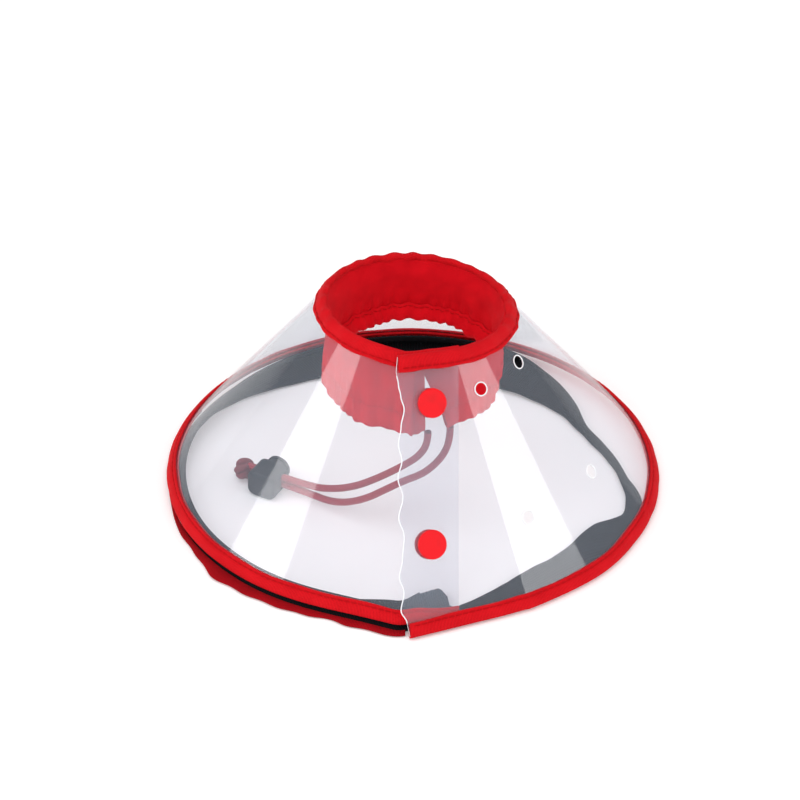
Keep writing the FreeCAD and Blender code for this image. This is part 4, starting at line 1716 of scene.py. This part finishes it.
@dataclass
class Drawstring:
    """The drawstring's two free strands, the knot at their ends and the lock on them.

    Args:
        diameter: The cord's diameter, in metres.
        left: The left strand's points, from the hem to the knot.
        right: The right strand's points.
        lengths: The two strands' lengths, in metres; not used.
        knot_centre: The knot's centre.
        lobe: How far the knot's turns lie from its middle.
    """

    diameter: float = 0.003
    left: tuple = ((6.4, -31.8, 56.0), (6.4, -31.8, 49.8), (2.6, -31.6, 42.9),
                   (-4.2, -29.8, 36.4), (-10.6, -26.2, 29.6), (-17.0, -21.8, 22.6),
                   (-23.6, -16.8, 15.8), (-31.6, -11.8, 10.4), (-42.35, -7.0, 7.65),
                   (-67.63, 7.6, 7.65))
    right: tuple = ((15.6, -28.2, 56.0), (15.6, -28.2, 49.0), (12.4, -30.6, 41.8),
                    (5.2, -33.1, 35.4), (-3.4, -31.0, 29.8), (-11.2, -27.8, 22.6),
                    (-18.6, -23.8, 15.0), (-26.8, -18.4, 8.4), (-34.4, -13.0, 4.9),
                    (-42.35, -7.0, 4.35), (-67.63, 7.6, 4.35))
    lengths: tuple = (0.1066, 0.1185)
    knot_centre: tuple = (-69.37, 8.6, 5.2)
    lobe: float = 2.25

    def strand(self, name: str,
               points: Sequence[tuple[float, float, float]]) -> bpy.types.Object:
        """One strand, as a smooth line led by its listed points.

        Args:
            name: The piece's name.
            points: The points.

        Returns:
            The new piece.
        """
        line = bpy.data.curves.new(name, "CURVE")
        line.dimensions = "3D"
        spline = line.splines.new("NURBS")
        spline.points.add(len(points) - 1)
        for point, spot in zip(spline.points, points):
            point.co = (*(value * MM for value in spot), 1)
        spline.order_u = 3
        spline.use_endpoint_u = True
        spline.resolution_u = 24
        line.bevel_depth = self.diameter / 2
        line.bevel_resolution = 6
        line.use_fill_caps = True
        line.materials.append(RED_CORD.material())
        piece = bpy.data.objects.new(name, line)
        bpy.context.scene.collection.objects.link(piece)
        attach(piece, Body.COLLAR.value)
        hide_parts(name.replace("_cord", ""))
        return piece

    def knot(self) -> bpy.types.Object:
        """The stopper knot that ties both strands together.

        Returns:
            The new piece.
        """
        loft = Loft("drawstring_knot_tied")
        centre = Vector(self.knot_centre)
        along, side, up = Vector((-0.866, 0.5, 0)), Vector((0.5, 0.866, 0)), Vector((0, 0, 1))
        path = []
        for k in range(200):
            t = 4 * math.pi * k / 200
            wide = self.lobe + math.cos(2.5 * t)
            path.append(centre + side * (wide * math.cos(t)) + up * (wide * math.sin(t))
                        + along * (1.9 * math.sin(2.5 * t)))
        loft.tube(path, 1.5, sides=12, closed=True)
        core = [centre + along * (-3.6 + 0.72 * k) for k in range(11)]
        loft.tube(core, lambda s: 0.8 + 2.4 * math.sin(math.pi * s), sides=14)
        piece = loft.build((RED_CORD,), 80)
        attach(piece, Body.COLLAR.value)
        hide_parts("drawstring_knot")
        return piece

    def build(self) -> None:
        strands = [self.strand("drawstring_left_strand_cord", self.left),
                   self.strand("drawstring_right_strand_cord", self.right)]
        knot = self.knot()
        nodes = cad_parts
        on_it = [knot, LockSpring().build(), nodes["cord_lock_barrel"],
                 nodes["cord_lock_button"]]
        LOG.info("drawstring built")


# ------------------------------------------------------------------ hard parts kept from the frame


@dataclass(frozen=True)
class HardParts:
    """The studs and the lock, which keep their frame shapes and get real finishes."""

    finishes: tuple = (
        ("snap_cap", RED_PLASTIC), ("snap_stud", RED_PLASTIC), ("snap_socket", RED_PLASTIC),
        ("snap_inner_cap", RED_PLASTIC), ("cord_lock_barrel", BLACK_PLASTIC),
        ("cord_lock_button", BLACK_PLASTIC),
    )

    def build(self) -> None:
        """Gives each kept node its finish."""
        for name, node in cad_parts.items():
            for ending, finish in self.finishes:
                if name.endswith(ending):
                    node.data.materials.clear()
                    node.data.materials.append(finish.material())
                    LOG.info("%s dressed", name)


# ------------------------------------------------------------------ studio


@dataclass
class Studio:
    """The camera, the pale floor and the soft lights.

    Args:
        tilt: The camera's height above the horizon, in degrees.
        aim: The point it looks at, in metres.
        span: The width it takes in, in metres.
        distance: How far away the camera stands, in metres.
        room: The even room light's strength.
        panels: The large top light and the two strips, as panel takes them.
    """

    tilt: float = 38.0
    aim: tuple = (-0.0051, 0.0035, 0.0451)
    span: float = 0.3304
    distance: float = 1.5
    room: float = 0.56
    panels: tuple = (("top_light", -15, 66, 2.6, (2.4, 2.4), 29),
                     ("left_strip", -72, 22, 1.2, (0.60, 0.9), 4.9),
                     ("right_strip", 62, 22, 1.2, (0.60, 0.9), 4.3))

    def camera(self) -> None:
        """A camera without perspective, in front of the overlap."""
        data = bpy.data.cameras.new("camera")
        data.type = "ORTHO"
        data.ortho_scale = self.span
        data.clip_start, data.clip_end = 0.05, 20
        camera = bpy.data.objects.new("camera", data)
        turn = math.radians(self.tilt)
        back = Vector((0, -math.cos(turn), math.sin(turn)))
        camera.location = Vector(self.aim) + back * self.distance
        camera.rotation_euler = (math.pi / 2 - turn, 0, 0)
        bpy.context.scene.collection.objects.link(camera)
        bpy.context.scene.camera = camera

    @staticmethod
    def floor() -> None:
        """A wide pale floor, just under the collar."""
        mesh = bpy.data.meshes.new("floor")
        side, low = 6.0, -0.0004
        mesh.from_pydata([(-side, -side, low), (side, -side, low), (side, side, low),
                          (-side, side, low)], [], [(0, 1, 2, 3)])
        mesh.materials.append(Paper("floor_paper").material())
        piece = bpy.data.objects.new("floor", mesh)
        bpy.context.scene.collection.objects.link(piece)

    @staticmethod
    def panel(name: str, azimuth: float, height: float, distance: float, size: tuple,
              power: float) -> None:
        """A soft light panel aimed at the collar.

        Args:
            name: The light's name.
            azimuth: Its direction from the collar, in degrees, 0 in front and 90 to the right.
            height: Its angle above the horizon, in degrees.
            distance: How far away it is, in metres.
            size: Its width and height, in metres.
            power: Its power, in watts.
        """
        data = bpy.data.lights.new(name, "AREA")
        data.shape, data.size, data.size_y, data.energy = "RECTANGLE", size[0], size[1], power
        light = bpy.data.objects.new(name, data)
        a, e = math.radians(azimuth), math.radians(height)
        back = Vector((math.sin(a) * math.cos(e), -math.cos(a) * math.cos(e), math.sin(e)))
        light.location = back * distance + Vector((0, 0, 0.04))
        light.rotation_euler = back.to_track_quat("Z", "Y").to_euler()
        light.visible_camera = False
        bpy.context.scene.collection.objects.link(light)

    def lights(self) -> None:
        """A bright even room, a large top light and two strips beside the collar."""
        world = bpy.data.worlds.new("room")
        world.use_nodes = True
        room = world.node_tree.nodes["Background"]
        room.inputs["Color"].default_value = (1.0, 1.0, 1.0, 1)
        room.inputs["Strength"].default_value = self.room
        bpy.context.scene.world = world
        for panel in self.panels:
            self.panel(*panel)

    def build(self) -> None:
        """Sets the studio up."""
        bpy.context.scene.view_settings.view_transform = "Standard"
        self.camera()
        self.floor()
        self.lights()


def main() -> None:
    """Builds the studio and every piece, in order."""
    logging.basicConfig(level=logging.INFO, format="%(message)s")
    makers = (Studio(), Drawstring(), ClearCone(), TapeBinding(Edge.RIM, 0.18, 19.0, 5.5),
              TapeBinding(Edge.NECK, 0.7, 8.2, 6.4), NeckLining(), RimSkirt(), HardParts())
    for maker in makers:
        maker.build()
        LOG.info("%s done", type(maker).__name__)


if __name__ == "__main__":
    main()
